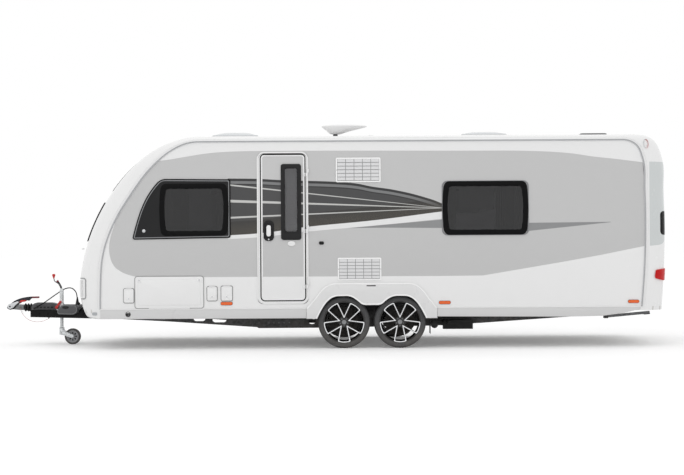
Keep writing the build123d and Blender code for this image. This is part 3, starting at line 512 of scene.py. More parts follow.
SILVER_PAINT = Finish("silver_paint", srgb(214, 216, 218), 0.36, metallic=0.3, drift=0.05,
                      drift_size=0.04, grain=0.0004, grain_size=0.004)
TUBE_ZINC = Galvanised("tube_zinc", srgb(224, 227, 228), 0.34, metallic=0.35, grain=0.00005,
                       spangle=0.01)
LEVER_DARK = Finish("lever_coat", srgb(40, 41, 47), 0.45, metallic=0.1, drift=0.1,
                    drift_size=0.04, grain=0.0002, shine=0.35)
LEVER_GREY = Finish("shaft_grey", srgb(128, 130, 131), 0.5, metallic=0.3, drift=0.1,
                    drift_size=0.03, grain=0.0005, grain_size=0.004)
RED_PLASTIC = Finish("red_plastic", srgb(196, 34, 28), 0.4, drift=0.06, drift_size=0.03,
                     grain=0.0001)
GRIP_RED = Finish("grip_red", srgb(118, 26, 38), 0.5, drift=0.08, drift_size=0.03,
                  grain=0.0002)
CABLE_SHEATH = Finish("cable_sheath", srgb(12, 12, 13), 0.5, drift=0.15, drift_size=0.03,
                      grain=0.0002, grain_size=0.0012, shine=0.1)
WIRE_SHEATH = Finish("wire_sheath", srgb(176, 118, 118), 0.45, drift=0.2, drift_size=0.02,
                     grain=0.0001)
TYRE = Finish("road_rubber", srgb(72, 72, 73), 0.72, drift=0.14, drift_size=0.05, grain=0.0004,
              grain_size=0.0016, dust=0.22, dust_top=0.4)
RIM_LACQUER = Finish("rim_lacquer", srgb(17, 17, 18), 0.3, metallic=0.1, coat=0.15, drift=0.1,
                     dust=0.08)
CUT_ALLOY = Finish("cut_alloy", srgb(246, 247, 249), 0.3, metallic=0.5, drift=0.03,
                   grain=0.00004, grain_size=0.0005)
CAP_GREY = Finish("cap_grey", srgb(140, 141, 143), 0.35, metallic=0.4, drift=0.05)
CAST_IRON = Finish("cast_iron", srgb(58, 56, 55), 0.7, metallic=0.4, drift=0.25, drift_size=0.03,
                   grain=0.0008, grain_size=0.004, dust=0.2)
FLOOR_BOARD = Finish("floor_board", srgb(206, 205, 202), 0.6, drift=0.05, drift_size=0.2,
                     grain=0.0006, grain_size=0.01, dust=0.15)
AMBER = Lens("amber_lens", srgb(224, 96, 34), 0.2, drift=0.05)
RED_LENS = Lens("red_lens", srgb(186, 8, 10), 0.2, drift=0.05, shine=0.2)
CLEAR_LENS = Lens("clear_lens", srgb(168, 171, 174), 0.16, drift=0.03, shine=0.4)
SLAT_GREY = Finish("slat_grey", srgb(222, 222, 223), 0.45, drift=0.02, grain=0.0001)
# Whiter than the spat paint: painted highlight on the spat lips and beads, and the own white of the vent grilles
TRIM_WHITE_AND_HIGHLIGHT = Finish("trim_white_and_highlight", srgb(248, 248, 248), 0.3, coat=0.3, drift=0.005, dust=0.03,
                   dust_top=0.5)
SMOKED = Finish("smoked_dome", srgb(70, 71, 73), 0.15, coat=0.6, drift=0.05)
DOME_WHITE = Finish("dome_acrylic", srgb(212, 215, 217), 0.25, coat=0.2, drift=0.02, grain=0.00006)
JOCKEY_GREY = Finish("jockey_hub", srgb(150, 151, 153), 0.5, drift=0.08, drift_size=0.03,
                     grain=0.0003)


def rectangle(box: Box) -> tuple[Flat, ...]:
    """The corners of a box given as low and high of both axes."""
    a0, a1, b0, b1 = box
    return (a0, b0), (a1, b0), (a1, b1), (a0, b1)


def oval(centre: Flat, reach: Flat, steps: int) -> list[Flat]:
    """Points round an oval with a reach along each of its two axes."""
    turns = [math.tau * k / steps for k in range(steps)]
    return [(centre[0] + reach[0] * math.cos(a), centre[1] + reach[1] * math.sin(a))
            for a in turns]


def strut(start: Flat, end: Flat, near: float, far: float) -> list[Flat]:
    """The corners of a straight bar between two points, with its half width at each."""
    a, b = Vector(start), Vector(end)
    run = (b - a).normalized()
    out = Vector((-run.y, run.x))
    return [tuple(c) for c in (a + out * near, a - out * near, b - out * far, b + out * far)]


def halving(low: float, high: float, short: Callable[[float], bool]) -> float:
    """The place between low, which falls short, and high, which doesn't, where that changes."""
    for _ in range(30):
        middle = (low + high) / 2
        if short(middle):
            low = middle
        else:
            high = middle
    return (low + high) / 2


def tube_curve(name: str, points: Sequence[Point], radius: float, steps: int,
               sides: int) -> bpy.types.Curve:
    """A round tube along one smooth line.

    Args:
        name: The curve's name.
        points: Control points of the line.
        radius: The tube's radius.
        steps: Divisions from one control point to the next.
        sides: Divisions of each quarter of the round section.

    Returns:
        The curve's data.
    """
    data = bpy.data.curves.new(name, "CURVE")
    data.dimensions = "3D"
    line = data.splines.new("NURBS")
    line.points.add(len(points) - 1)
    for spot, point in zip(line.points, points):
        spot.co = (*point, 1)
    line.order_u = 3
    line.use_endpoint_u = True
    line.resolution_u = steps
    data.bevel_depth = radius
    data.bevel_resolution = sides
    data.use_fill_caps = True
    return data


class Shape:
    """A mesh being modelled, in millimetres in the row frame."""

    def __init__(self) -> None:
        self.bm = bmesh.new()

    def take(self, part: bmesh.types.BMesh) -> "Shape":
        """Takes in a part that was made by itself."""
        mesh = bpy.data.meshes.new("part")
        part.to_mesh(mesh)
        part.free()
        self.bm.from_mesh(mesh)
        bpy.data.meshes.remove(mesh)
        return self

    def prism(self, outline: Sequence[Flat], low: float, high: float, along: Along = Along.Y,
              corner: float | Sequence[float] = 0.0, edge: float = 0.0,
              holes: Sequence[tuple[Sequence[Flat], float]] = (), steps: int = 6) -> "Shape":
        """A plate pushed out from a flat outline.

        Args:
            outline: Corner points on the two axes other than along.
            low: Where the plate starts on the along axis.
            high: Where it ends.
            along: The axis it is pushed along.
            corner: Radius of the outline's corners, one for all or one each.
            edge: Radius of the rounding round both faces.
            holes: Outlines cut out of the plate, each with its corner radius.
            steps: Divisions of each rounded corner.

        Returns:
            This shape.
        """
        part = bmesh.new()
        for points, radius in ((outline, corner), *holes):
            verts = [part.verts.new(along.place(a, b, low)) for a, b in points]
            part.faces.new(verts)
            radii = [radius] * len(verts) if isinstance(radius, (int, float)) else radius
            for vert, size in zip(verts, radii):
                if size > 0:
                    bmesh.ops.bevel(part, geom=[vert], offset=size, segments=steps,
                                    profile=0.5, affect="VERTICES", material=-1)
        if holes:
            bmesh.ops.delete(part, geom=part.faces[:], context="FACES_ONLY")
            bmesh.ops.triangle_fill(part, use_beauty=True, edges=part.edges[:],
                                    normal=along.axis())
        pushed = bmesh.ops.extrude_face_region(part, geom=part.faces[:])
        moved = [v for v in pushed["geom"] if isinstance(v, bmesh.types.BMVert)]
        bmesh.ops.translate(part, verts=moved, vec=along.axis() * (high - low))
        bmesh.ops.recalc_face_normals(part, faces=part.faces[:])
        if edge:
            part.normal_update()
            flat = along.value
            rims = [e for e in part.edges if len(e.link_faces) == 2
                    and abs(e.verts[0].co[flat] - e.verts[1].co[flat]) < 1e-4
                    and e.calc_face_angle() > 0.6]
            bmesh.ops.bevel(part, geom=rims, offset=edge, segments=3, profile=0.5,
                            affect="EDGES", material=-1, clamp_overlap=True)
        return self.take(part)

    def panel(self, box: Box, low: float, high: float, along: Along = Along.Y,
              corner: float = 0.0, edge: float = 0.0, rim: float = 0.0) -> "Shape":
        """A rounded rectangle with thickness, or its rim alone.

        Args:
            box: Low and high of the first axis, then of the second.
            low: Where it starts on the along axis.
            high: Where it ends.
            along: The axis it is pushed along.
            corner: Corner radius.
            edge: Radius of the rounding round both faces.
            rim: Width of the rim, or 0 for a full panel.

        Returns:
            This shape.
        """
        a0, a1, b0, b1 = box
        holes = ()
        if rim:
            inner = rectangle((a0 + rim, a1 - rim, b0 + rim, b1 - rim))
            holes = ((inner, max(corner - rim, 2.0)),)
        return self.prism(rectangle(box), low, high, along, corner, edge, holes)

    def block(self, low: Point, high: Point, edge: float = 0.0) -> "Shape":
        """A box between two corners, with rounded edges."""
        part = bmesh.new()
        bmesh.ops.create_cube(part, size=1)
        start, end = Vector(low), Vector(high)
        bmesh.ops.scale(part, verts=part.verts, vec=[abs(d) for d in end - start])
        bmesh.ops.translate(part, verts=part.verts, vec=(start + end) / 2)
        if edge:
            bmesh.ops.bevel(part, geom=part.edges[:], offset=edge, segments=2, profile=0.5,
                            affect="EDGES", material=-1)
        return self.take(part)

    def rod(self, start: Point, end: Point, radius: float, tip: float | None = None,
            sides: int = 32, edge: float = 0.0) -> "Shape":
        """A round or tapered rod between two points."""
        part = bmesh.new()
        a, b = Vector(start), Vector(end)
        turn = (b - a).to_track_quat("Z", "Y").to_matrix().to_4x4()
        bmesh.ops.create_cone(part, cap_ends=True, segments=sides, radius1=radius,
                              radius2=radius if tip is None else tip, depth=(b - a).length,
                              matrix=Matrix.Translation((a + b) / 2) @ turn)
        if edge:
            rims = [e for e in part.edges if any(len(f.verts) > 4 for f in e.link_faces)]
            bmesh.ops.bevel(part, geom=rims, offset=edge, segments=3, profile=0.5,
                            affect="EDGES", material=-1)
        return self.take(part)

    def turned(self, section: Sequence[Flat], centre: Point, along: Along = Along.Y,
               flip: int = 1, steps: int = 96, closed: bool = True) -> "Shape":
        """A section turned about an axis.

        Args:
            section: (offset along the axis, radius) points.
            centre: A point on the axis.
            along: The axis.
            flip: -1 turns the offsets round.
            steps: Divisions of the full turn.
            closed: Whether the section's end joins its start.

        Returns:
            This shape.
        """
        part = bmesh.new()
        axis = along.axis()
        arm = Along((along.value + 1) % 3).axis()
        middle = Vector(centre)
        verts = [part.verts.new(middle + axis * (offset * flip) + arm * radius)
                 for offset, radius in section]
        pairs = list(zip(verts, verts[1:]))
        if closed:
            pairs.append((verts[-1], verts[0]))
        edges = [part.edges.new(pair) for pair in pairs]
        bmesh.ops.spin(part, geom=verts + edges, cent=middle, axis=axis, angle=math.tau,
                       steps=steps, use_merge=True)
        bmesh.ops.remove_doubles(part, verts=part.verts[:], dist=0.01)
        bmesh.ops.recalc_face_normals(part, faces=part.faces[:])
        return self.take(part)

    def bar(self, points: Sequence[Point], radius: float) -> "Shape":
        """A bent round bar that follows a smooth line through the bends."""
        data = tube_curve("bar", points, radius, 8, 4)
        holder = bpy.data.objects.new("bar", data)
        mesh = bpy.data.meshes.new_from_object(holder)
        part = bmesh.new()
        part.from_mesh(mesh)
        bpy.data.objects.remove(holder)
        bpy.data.curves.remove(data)
        bpy.data.meshes.remove(mesh)
        bmesh.ops.remove_doubles(part, verts=part.verts[:], dist=0.01)
        bmesh.ops.recalc_face_normals(part, faces=part.faces[:])
        return self.take(part)

    def patch(self, columns: int, rows: int, place: Callable[[int, int], Vector],
              wrap: bool = False) -> "Shape":
        """A grid laid over a surface.

        Args:
            columns: Divisions one way.
            rows: Divisions the other way.
            place: Gives the point for a column and row number.
            wrap: Whether the last row meets the first, which makes a closed tube.

        Returns:
            This shape.
        """
        part = bmesh.new()
        bmesh.ops.create_grid(part, x_segments=columns, y_segments=rows, size=1)
        for vert in part.verts:
            column = round((vert.co.x + 1) / 2 * columns)
            row = round((vert.co.y + 1) / 2 * rows)
            vert.co = place(column, row)
        if wrap:
            bmesh.ops.remove_doubles(part, verts=part.verts[:], dist=0.01)
            ends = [e for e in part.edges if len(e.link_faces) == 1]
            bmesh.ops.holes_fill(part, edges=ends)
            bmesh.ops.recalc_face_normals(part, faces=part.faces[:])
        return self.take(part)

    def around(self, count: int, centre: Point, along: Along = Along.Y) -> "Shape":
        """Repeats the shape evenly round an axis."""
        geom = self.bm.verts[:] + self.bm.edges[:] + self.bm.faces[:]
        bmesh.ops.spin(self.bm, geom=geom, cent=Vector(centre), axis=along.axis(),
                       angle=math.tau * (count - 1) / count, steps=count - 1,
                       use_duplicate=True)
        return self

    def both_sides(self) -> "Shape":
        """Adds the same shape on the other long side."""
        copy = bmesh.ops.duplicate(self.bm, geom=self.bm.verts[:] + self.bm.edges[:]
                                   + self.bm.faces[:])
        verts = [v for v in copy["geom"] if isinstance(v, bmesh.types.BMVert)]
        faces = [f for f in copy["geom"] if isinstance(f, bmesh.types.BMFace)]
        bmesh.ops.scale(self.bm, verts=verts, vec=(1, -1, 1))
        bmesh.ops.reverse_faces(self.bm, faces=faces)
        return self

    def swung(self, degrees: float, at: Point) -> "Shape":
        """Turns the shape about the upright axis, then moves it."""
        turn = Matrix.Rotation(math.radians(degrees), 3, "Z")
        bmesh.ops.rotate(self.bm, verts=self.bm.verts, cent=(0, 0, 0), matrix=turn)
        bmesh.ops.translate(self.bm, verts=self.bm.verts, vec=at)
        return self

    def cut(self, at: Point, normal: Point) -> "Shape":
        """Cuts away what lies on the normal's side of a plane."""
        geom = self.bm.verts[:] + self.bm.edges[:] + self.bm.faces[:]
        bmesh.ops.bisect_plane(self.bm, geom=geom, plane_co=at, plane_no=normal,
                               clear_outer=True)
        return self

    def thicken(self, depth: float) -> "Shape":
        """Gives a sheet a wall on its inner side, closed round its rim."""
        self.bm.normal_update()
        bmesh.ops.solidify(self.bm, geom=self.bm.faces[:], thickness=depth)
        return self

    def copy(self) -> "Shape":
        """A second shape like this one."""
        other = Shape()
        other.bm.free()
        other.bm = self.bm.copy()
        return other

    def piece(self, name: str, finish: Finish, body: str = CARAVAN, slot: str = "",
              replaces: Sequence[str] = (), sharp: float = 38.0,
              cutters: Sequence["Shape"] = (), keep: bool = False) -> bpy.types.Object:
        """Finishes the shape as a piece of the caravan.

        Args:
            name: The piece's name.
            finish: Its finish.
            body: The CAD body it rides on.
            slot: The record's material slot; not used.
            replaces: CAD nodes that it stands for.
            sharp: Angle in degrees from which an edge stays sharp.
            cutters: Shapes cut out of it.
            keep: Whether the cutters say what stays, not what goes.

        Returns:
            The piece's object.
        """
        made = self.to_object(name)
        for cutter in cutters:
            carve(made, cutter, keep)
        made.data.shade_smooth()
        made.data.set_sharp_from_angle(angle=math.radians(sharp))
        made.data.materials.clear()
        made.data.materials.append(finish.material())
        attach(made, body)
        if replaces:
            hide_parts(*replaces)
        return made

    def to_object(self, name: str) -> bpy.types.Object:
        """The shape as an object in metres."""
        bmesh.ops.scale(self.bm, verts=self.bm.verts, vec=(MM, MM, MM))
        mesh = bpy.data.meshes.new(name)
        self.bm.to_mesh(mesh)
        self.bm.free()
        made = bpy.data.objects.new(name, mesh)
        bpy.context.scene.collection.objects.link(made)
        return made


def carve(target: bpy.types.Object, cutter: Shape, keep: bool = False) -> None:
    """Cuts a shape out of a piece, or cuts the piece down to it."""
    tool = cutter.to_object("cutter")
    step = target.modifiers.new("carve", "BOOLEAN")
    step.operation = "INTERSECT" if keep else "DIFFERENCE"
    step.solver = "EXACT"
    step.object = tool
    graph = bpy.context.evaluated_depsgraph_get()
    old = target.data
    target.data = bpy.data.meshes.new_from_object(target.evaluated_get(graph))
    target.modifiers.clear()
    bpy.data.objects.remove(tool)
    bpy.data.meshes.remove(old)


@dataclass(frozen=True)
class Row:
    """One row of the body's side profile, in millimetres."""

    rail_x: float
    rail_z: float
    edge_x: float
    edge_z: float
    bow: float


# From under the nose, over the roof, to the rear foot
PROFILE = (
    Row(-2713, 372, -2800, 366, 48), Row(-2713, 398, -2898, 392, 62),
    Row(-2713, 435, -2925, 435, 70), Row(-2711, 700, -2980, 740, 80),
    Row(-2671, 1164, -2911, 1190, 90), Row(-2541, 1519, -2772, 1558, 90),
    Row(-2337, 1855, -2586, 1882, 80), Row(-2112, 2150, -2321, 2198, 60),
    Row(-1850, 2370, -2000, 2425, 45), Row(-1692, 2443, -1835, 2488, 38),
    Row(-1522, 2466, -1600, 2536, 33), Row(3500, 2462, 3560, 2536, 33),
    Row(3664, 2396, 3905, 2462, 36), Row(3732, 2250, 4003, 2253, 38),
    Row(3757, 1850, 4020, 1850, 38), Row(3764, 1400, 4030, 1400, 38),
    Row(3750, 940, 4020, 930, 38), Row(3712, 435, 3988, 435, 38),
)
ROOF_START = 10
LAST_ROW = float(len(PROFILE) - 1)


class SmoothLine:
    """A smooth line through a few points, straight along one stretch."""

    def __init__(self, points: Sequence[Vector], straight: int) -> None:
        self.points = list(points)
        self.headings = []
        last = len(self.points) - 1
        for i, here in enumerate(self.points):
            before = here - self.points[i - 1] if i else self.points[1] - here
            after = self.points[i + 1] - here if i < last else before
            if i == straight:
                before = after
            if i == straight + 1:
                after = before
            turn = before.normalized() * after.length + after.normalized() * before.length
            self.headings.append(turn.normalized())

    def at(self, t: float) -> Vector:
        """The point at a row number with its fraction."""
        i = min(max(int(t), 0), len(self.points) - 2)
        u = t - i
        a, b = self.points[i], self.points[i + 1]
        reach = (b - a).length
        start, end = self.headings[i] * reach, self.headings[i + 1] * reach
        return (a * (2 * u ** 3 - 3 * u ** 2 + 1) + start * (u ** 3 - 2 * u ** 2 + u)
                + b * (3 * u ** 2 - 2 * u ** 3) + end * (u ** 3 - u ** 2))


class BodyForm:
    """The caravan's smooth outer form between its two flat sides."""

    DEPTH = 200.0
    WALL = 32.0

    def __init__(self) -> None:
        self.rail = SmoothLine([Vector((r.rail_x, r.rail_z)) for r in PROFILE], ROOF_START)
        self.edge = SmoothLine([Vector((r.edge_x, r.edge_z)) for r in PROFILE], ROOF_START)
        self.core = HALF_WIDTH - self.DEPTH

    def bow(self, t: float) -> float:
        """How far the middle stands out beyond the corner's edge."""
        i = min(int(t), len(PROFILE) - 2)
        return PROFILE[i].bow + (PROFILE[i + 1].bow - PROFILE[i].bow) * (t - i)

    def outward(self, line: SmoothLine, t: float) -> Vector:
        """The direction out of the body, in the side view, on one of its lines."""
        step = 0.01
        run = line.at(min(t + step, LAST_ROW)) - line.at(max(t - step, 0.0))
        return Vector((-run.y, run.x)).normalized()

    def last_turn(self, t: float, reach: float) -> float:
        """The share of its arc that a corner leaves out, so that it runs on into the bow."""
        slope = 2 * self.bow(t) * self.DEPTH / (self.core * reach)
        return slope / (1 + slope)

    def surface(self, t: float, y: float) -> Vector:
        """The point of the outer surface at a row number and a distance across."""
        rail, edge = self.rail.at(t), self.edge.at(t)
        reach = edge - rail
        last = self.last_turn(t, reach.length)
        aside = min(abs(y), HALF_WIDTH)
        if aside >= self.core:
            turn = 1 - (HALF_WIDTH - aside) / self.DEPTH * (1 - last)
            flat = rail + reach * math.sqrt(max(0.0, 1 - turn * turn) / (1 - last * last))
        else:
            out = self.bow(t) * (1 - (aside / self.core) ** 2)
            flat = edge + self.outward(self.edge, t) * out
        return Vector((flat.x, y, flat.y))

    def normal(self, t: float, y: float) -> Vector:
        """The outward direction of the surface."""
        step, across = 0.01, 2.0
        along = self.surface(min(t + step, LAST_ROW), y) - self.surface(max(t - step, 0.0), y)
        high, low = min(y + across, HALF_WIDTH), max(y - across, -HALF_WIDTH)
        return along.cross(self.surface(t, high) - self.surface(t, low)).normalized()

    def point(self, t: float, y: float, lift: float = 0.0) -> Vector:
        """A point lifted off the surface, or sunk below it."""
        return self.surface(t, y) + (self.normal(t, y) * lift if lift else Vector())

    def side_line(self, t: float, away: float) -> float:
        """How far across the surface lies where it is away from the rail in the side view."""
        reach = (self.edge.at(t) - self.rail.at(t)).length
        last = self.last_turn(t, reach)
        share = min(1.0, away / reach)
        turn = math.sqrt(1 - share * share * (1 - last * last))
        return HALF_WIDTH - self.DEPTH * (1 - turn) / (1 - last)

    def row_at(self, z: float, y: float, rear: bool = False) -> float:
        """The row number where the front or the rear has a height.

        Args:
            z: The height wanted.
            y: The distance across.
            rear: Whether to look at the rear.

        Returns:
            The row number with its fraction.
        """
        low, high = (LAST_ROW, ROOF_START + 1.0) if rear else (0.0, float(ROOF_START))
        return halving(low, high, lambda t: self.surface(t, y).z < z)

    def rows(self, start: float, end: float, each: int = 7) -> list[float]:
        """Row numbers from start to end, close where the body curves."""
        made = [start]
        for i in range(int(start), math.ceil(end)):
            steps = 3 if i == ROOF_START else each
            made += [i + k / steps for k in range(steps) if start + 1e-6 < i + k / steps < end]
        return made + [end]

    def across(self, corner: int = 10, middle: int = 14) -> list[float]:
        """Distances across, close in the rounded corners."""
        quarter = [math.pi / 2 * i / corner for i in range(corner)]
        outer = [-(HALF_WIDTH - self.DEPTH * (1 - math.cos(a))) for a in quarter]
        inner = [self.core * (2 * i / middle - 1) for i in range(middle + 1)]
        return outer + inner + [-y for y in reversed(outer)]

    def skin(self, start: float, end: float, lift: float = 0.0) -> Shape:
        """The outer surface between two row numbers, as a sheet."""
        rows, across = self.rows(start, end), self.across()
        return Shape().patch(len(rows) - 1, len(across) - 1,
                             lambda i, j: self.point(rows[i], across[j], lift))


def slab(form: BodyForm, start: float, end: float, lift: float, depth: float) -> Shape:
    """A closed layer that follows the body between two row numbers."""
    return form.skin(start, end, lift).thicken(depth)


def beside(points: Sequence[Flat], away: float, closed: bool = False) -> list[Flat]:
    """A line beside another one.

    Args:
        points: The line's points.
        away: Distance to the left of its run, or to the right where negative.
        closed: Whether its end joins its start.

    Returns:
        The moved points.
    """
    made = []
    last = len(points) - 1
    for i, point in enumerate(points):
        before = points[i - 1] if i or closed else None
        after = points[(i + 1) % len(points)] if i < last or closed else None
        runs = []
        if before:
            runs.append((Vector(point) - Vector(before)).normalized())
        if after:
            runs.append((Vector(after) - Vector(point)).normalized())
        run = (runs[0] + runs[-1]).normalized()
        stretch = 1 / max(0.5, run.dot(runs[0]))
        made.append((point[0] - run.y * away * stretch, point[1] + run.x * away * stretch))
    return made


def dress(finish: Finish, *nodes: str) -> None:
    """Gives CAD nodes a finish."""
    for name in nodes:
        node = bpy.data.objects[name]
        if not node.material_slots:
            node.data.materials.append(None)
        for place in node.material_slots:
            place.material = finish.material()
        LOG.info("dressed %s with %s", name, finish.name)


@dataclass
class Studio:
    """The camera, lamps, world and floor. Sizes are in metres."""

    eye: Point = (0.161, -20.195, 1.3187)
    lens: float = 84.26
    roll: float = 0.0061
    sky: float = 0.94
    floor_half: float = 90.0

    def build(self) -> None:
        """Sets up the camera, the light and the floor."""
        bpy.context.scene.view_settings.view_transform = "Standard"
        self.camera()
        self.world()
        self.lamp("overhead_light", (-0.5, -1.0, 9.0), (0, 0, 0), 12.0, 60)
        self.lamp("front_light", (-3.0, -14.0, 7.0), (0.2, 0, 1.2), 9.0, 60)
        self.floor()

    def camera(self) -> None:
        """A level camera with the photograph's slight roll."""
        data = bpy.data.cameras.new("camera")
        data.lens = self.lens
        data.clip_end = 500
        made = bpy.data.objects.new("camera", data)
        made.location = self.eye
        made.rotation_euler = (math.pi / 2, self.roll, 0)
        bpy.context.scene.collection.objects.link(made)
        bpy.context.scene.camera = made

    def world(self) -> None:
        """Even sky light, and plain white for the camera, gloss and glass."""
        world = bpy.data.worlds.new("sky")
        bpy.context.scene.world = world
        world.use_nodes = True
        tree = world.node_tree
        path = tree.nodes.new("ShaderNodeLightPath")
        ray = path.outputs["Is Camera Ray"]
        for kind in ("Is Glossy Ray", "Is Transmission Ray"):
            either = tree.nodes.new("ShaderNodeMath")
            either.operation = "MAXIMUM"
            tree.links.new(ray, either.inputs[0])
            tree.links.new(path.outputs[kind], either.inputs[1])
            ray = either.outputs[0]
        strength = tree.nodes.new("ShaderNodeMapRange")
        strength.inputs["To Min"].default_value = self.sky
        strength.inputs["To Max"].default_value = 1.0
        tree.links.new(ray, strength.inputs["Value"])
        back = tree.nodes["Background"]
        back.inputs["Color"].default_value = (1, 1, 1, 1)
        tree.links.new(strength.outputs[0], back.inputs["Strength"])

    def lamp(self, name: str, place: Point, target: Point, size: float, power: float) -> None:
        """Adds a square area lamp.

        Args:
            name: The lamp's name.
            place: Where it hangs.
            target: The point it faces.
            size: The length of its side.
            power: Its power in watts.
        """
        data = bpy.data.lights.new(name, "AREA")
        data.size = size
        data.energy = power
        made = bpy.data.objects.new(name, data)
        made.location = place
        heading = Vector(target) - Vector(place)
        made.rotation_euler = heading.to_track_quat("-Z", "Y").to_euler()
        bpy.context.scene.collection.objects.link(made)

    def floor(self) -> None:
        """A plain pale floor that keeps the shadow."""
        half = self.floor_half / MM
        shape = Shape().patch(2, 2, lambda i, j: Vector(((i - 1) * half, (j - 1) * half, 0)))
        made = shape.to_object("floor")
        g = Graph("floor_paint")
        tone = g.spread(g.noise(1.5, 2.0), 0.3, 0.7, 0.90, 0.93)
        colour = g.node("ShaderNodeCombineColor", {0: tone, 1: tone, 2: tone}).outputs[0]
        path = g.node("ShaderNodeLightPath")
        glow = g.math("MULTIPLY", path.outputs["Is Camera Ray"], 0.16)
        g.tune(Base_Color=colour, Roughness=0.95, Specular_IOR_Level=0.0,
               Emission_Color=(1, 1, 1, 1), Emission_Strength=glow)
        made.data.materials.append(g.material)


@dataclass
class HitchCables:
    """The electric cable and the breakaway cable. Route points and sizes are in metres."""

    electric_radius: float = 0.0065
    electric_length: float = 0.780
    electric: tuple[Point, ...] = (
        (-3.712, -0.098, 0.452), (-3.645, -0.112, 0.484), (-3.560, -0.118, 0.536),
        (-3.475, -0.098, 0.598), (-3.395, -0.072, 0.656), (-3.320, -0.062, 0.702),
        (-3.240, -0.078, 0.710), (-3.178, -0.108, 0.660), (-3.160, -0.141, 0.588),
        (-3.158, -0.145, 0.520),
    )
    wire_radius: float = 0.0022
    wire_length: float = 0.482
    wire: tuple[Point, ...] = (
        (-3.897, -0.050, 0.462), (-3.880, -0.058, 0.418), (-3.856, -0.066, 0.374),
        (-3.822, -0.075, 0.336), (-3.777, -0.085, 0.307), (-3.724, -0.096, 0.289),
        (-3.669, -0.108, 0.282), (-3.613, -0.120, 0.289), (-3.560, -0.131, 0.304),
        (-3.516, -0.141, 0.328),
    )

    def build(self) -> None:
        """Lays both cables, with their plug, sleeves and clips."""
        electric = self.lay("electric_cable_line", self.electric, self.electric_radius,
                            CABLE_SHEATH, "electric_cable")
        plug = self.plug()
        sleeve = self.sleeve()
        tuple(self.electric[0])
        wire = self.lay("breakaway_line", self.wire, self.wire_radius, WIRE_SHEATH,
                        "breakaway_cable")
        clip = self.clip()
        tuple(self.wire[0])

    def lay(self, name: str, route: Sequence[Point], radius: float, finish: Finish, node: str) -> bpy.types.Object:
        """Lays a cable on its route.

        Args:
            name: The piece's name.
            route: The control points.
            radius: The cable's radius.
            finish: Its finish.
            node: The CAD node it stands for.

        Returns:
            The cable's curve.
        """
        data = tube_curve(name, route, radius, 12, 5)
        data.materials.append(finish.material())
        made = bpy.data.objects.new(name, data)
        bpy.context.scene.collection.objects.link(made)
        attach(made, CARAVAN)
        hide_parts(node)
        return made

    def sleeve(self) -> bpy.types.Object:
        """The ribbed sleeve that takes the strain where the electric cable leaves."""
        start = Vector(self.electric[0]) / MM
        run = (Vector(self.electric[1]) / MM - start).normalized()
        core = self.electric_radius / MM
        shape = Shape()
        ribs, length, widest = 7, 55, 9.8
        for i in range(ribs):
            share = i / (ribs - 1)
            size = widest * (1 - share) + (core + 1.2) * share
            a = start + run * (length * i / ribs)
            b = start + run * (length * (i + 0.72) / ribs)
            shape.rod(a, b, size, edge=0.8, sides=24)
        shape.rod(start, start + run * length, core + 1.0, sides=24)
        return shape.piece("cable_sleeve", BLACK_PLASTIC, slot="black_plastic")

    def plug(self) -> bpy.types.Object:
        """The plug in its holder, with a ribbed grip and a collar."""
        x, y = PLUG_AT
        section = ((466, 0), (466, 21.4), (478, 21.4), (480, 22), (492, 22), (493, 26),
                   (500, 26), (504, 24), (530, 19), (566, 12), (592, 8.5), (592, 0))
        shape = Shape().turned([(z - 466, r) for z, r in section], (x, y, 466), Along.Z,
                               closed=False, steps=48)
        for i in range(12):
            angle = math.tau * i / 12
            spot = (x + 20.4 * math.cos(angle), y + 20.4 * math.sin(angle))
            shape.rod((*spot, 481), (*spot, 491), 1.5, sides=8)
        shape.rod((x + 18, y, 512), (x + 34, y, 512), 15, 11, sides=24, edge=3)
        return shape.piece("plug_body", BLACK_PLASTIC, slot="black_plastic",
                           replaces=("parked_plug",))

    def clip(self) -> bpy.types.Object:
        """The small spring clip on the breakaway cable."""
        shape = Shape().bar(((-3881, -60, 424), (-3874, -64, 408), (-3872, -66, 396),
                             (-3862, -68, 388), (-3855, -66, 396), (-3862, -64, 410),
                             (-3875, -60, 424)), 1.9)
        return shape.piece("breakaway_clip", BRIGHT_STEEL, slot="cable_red")


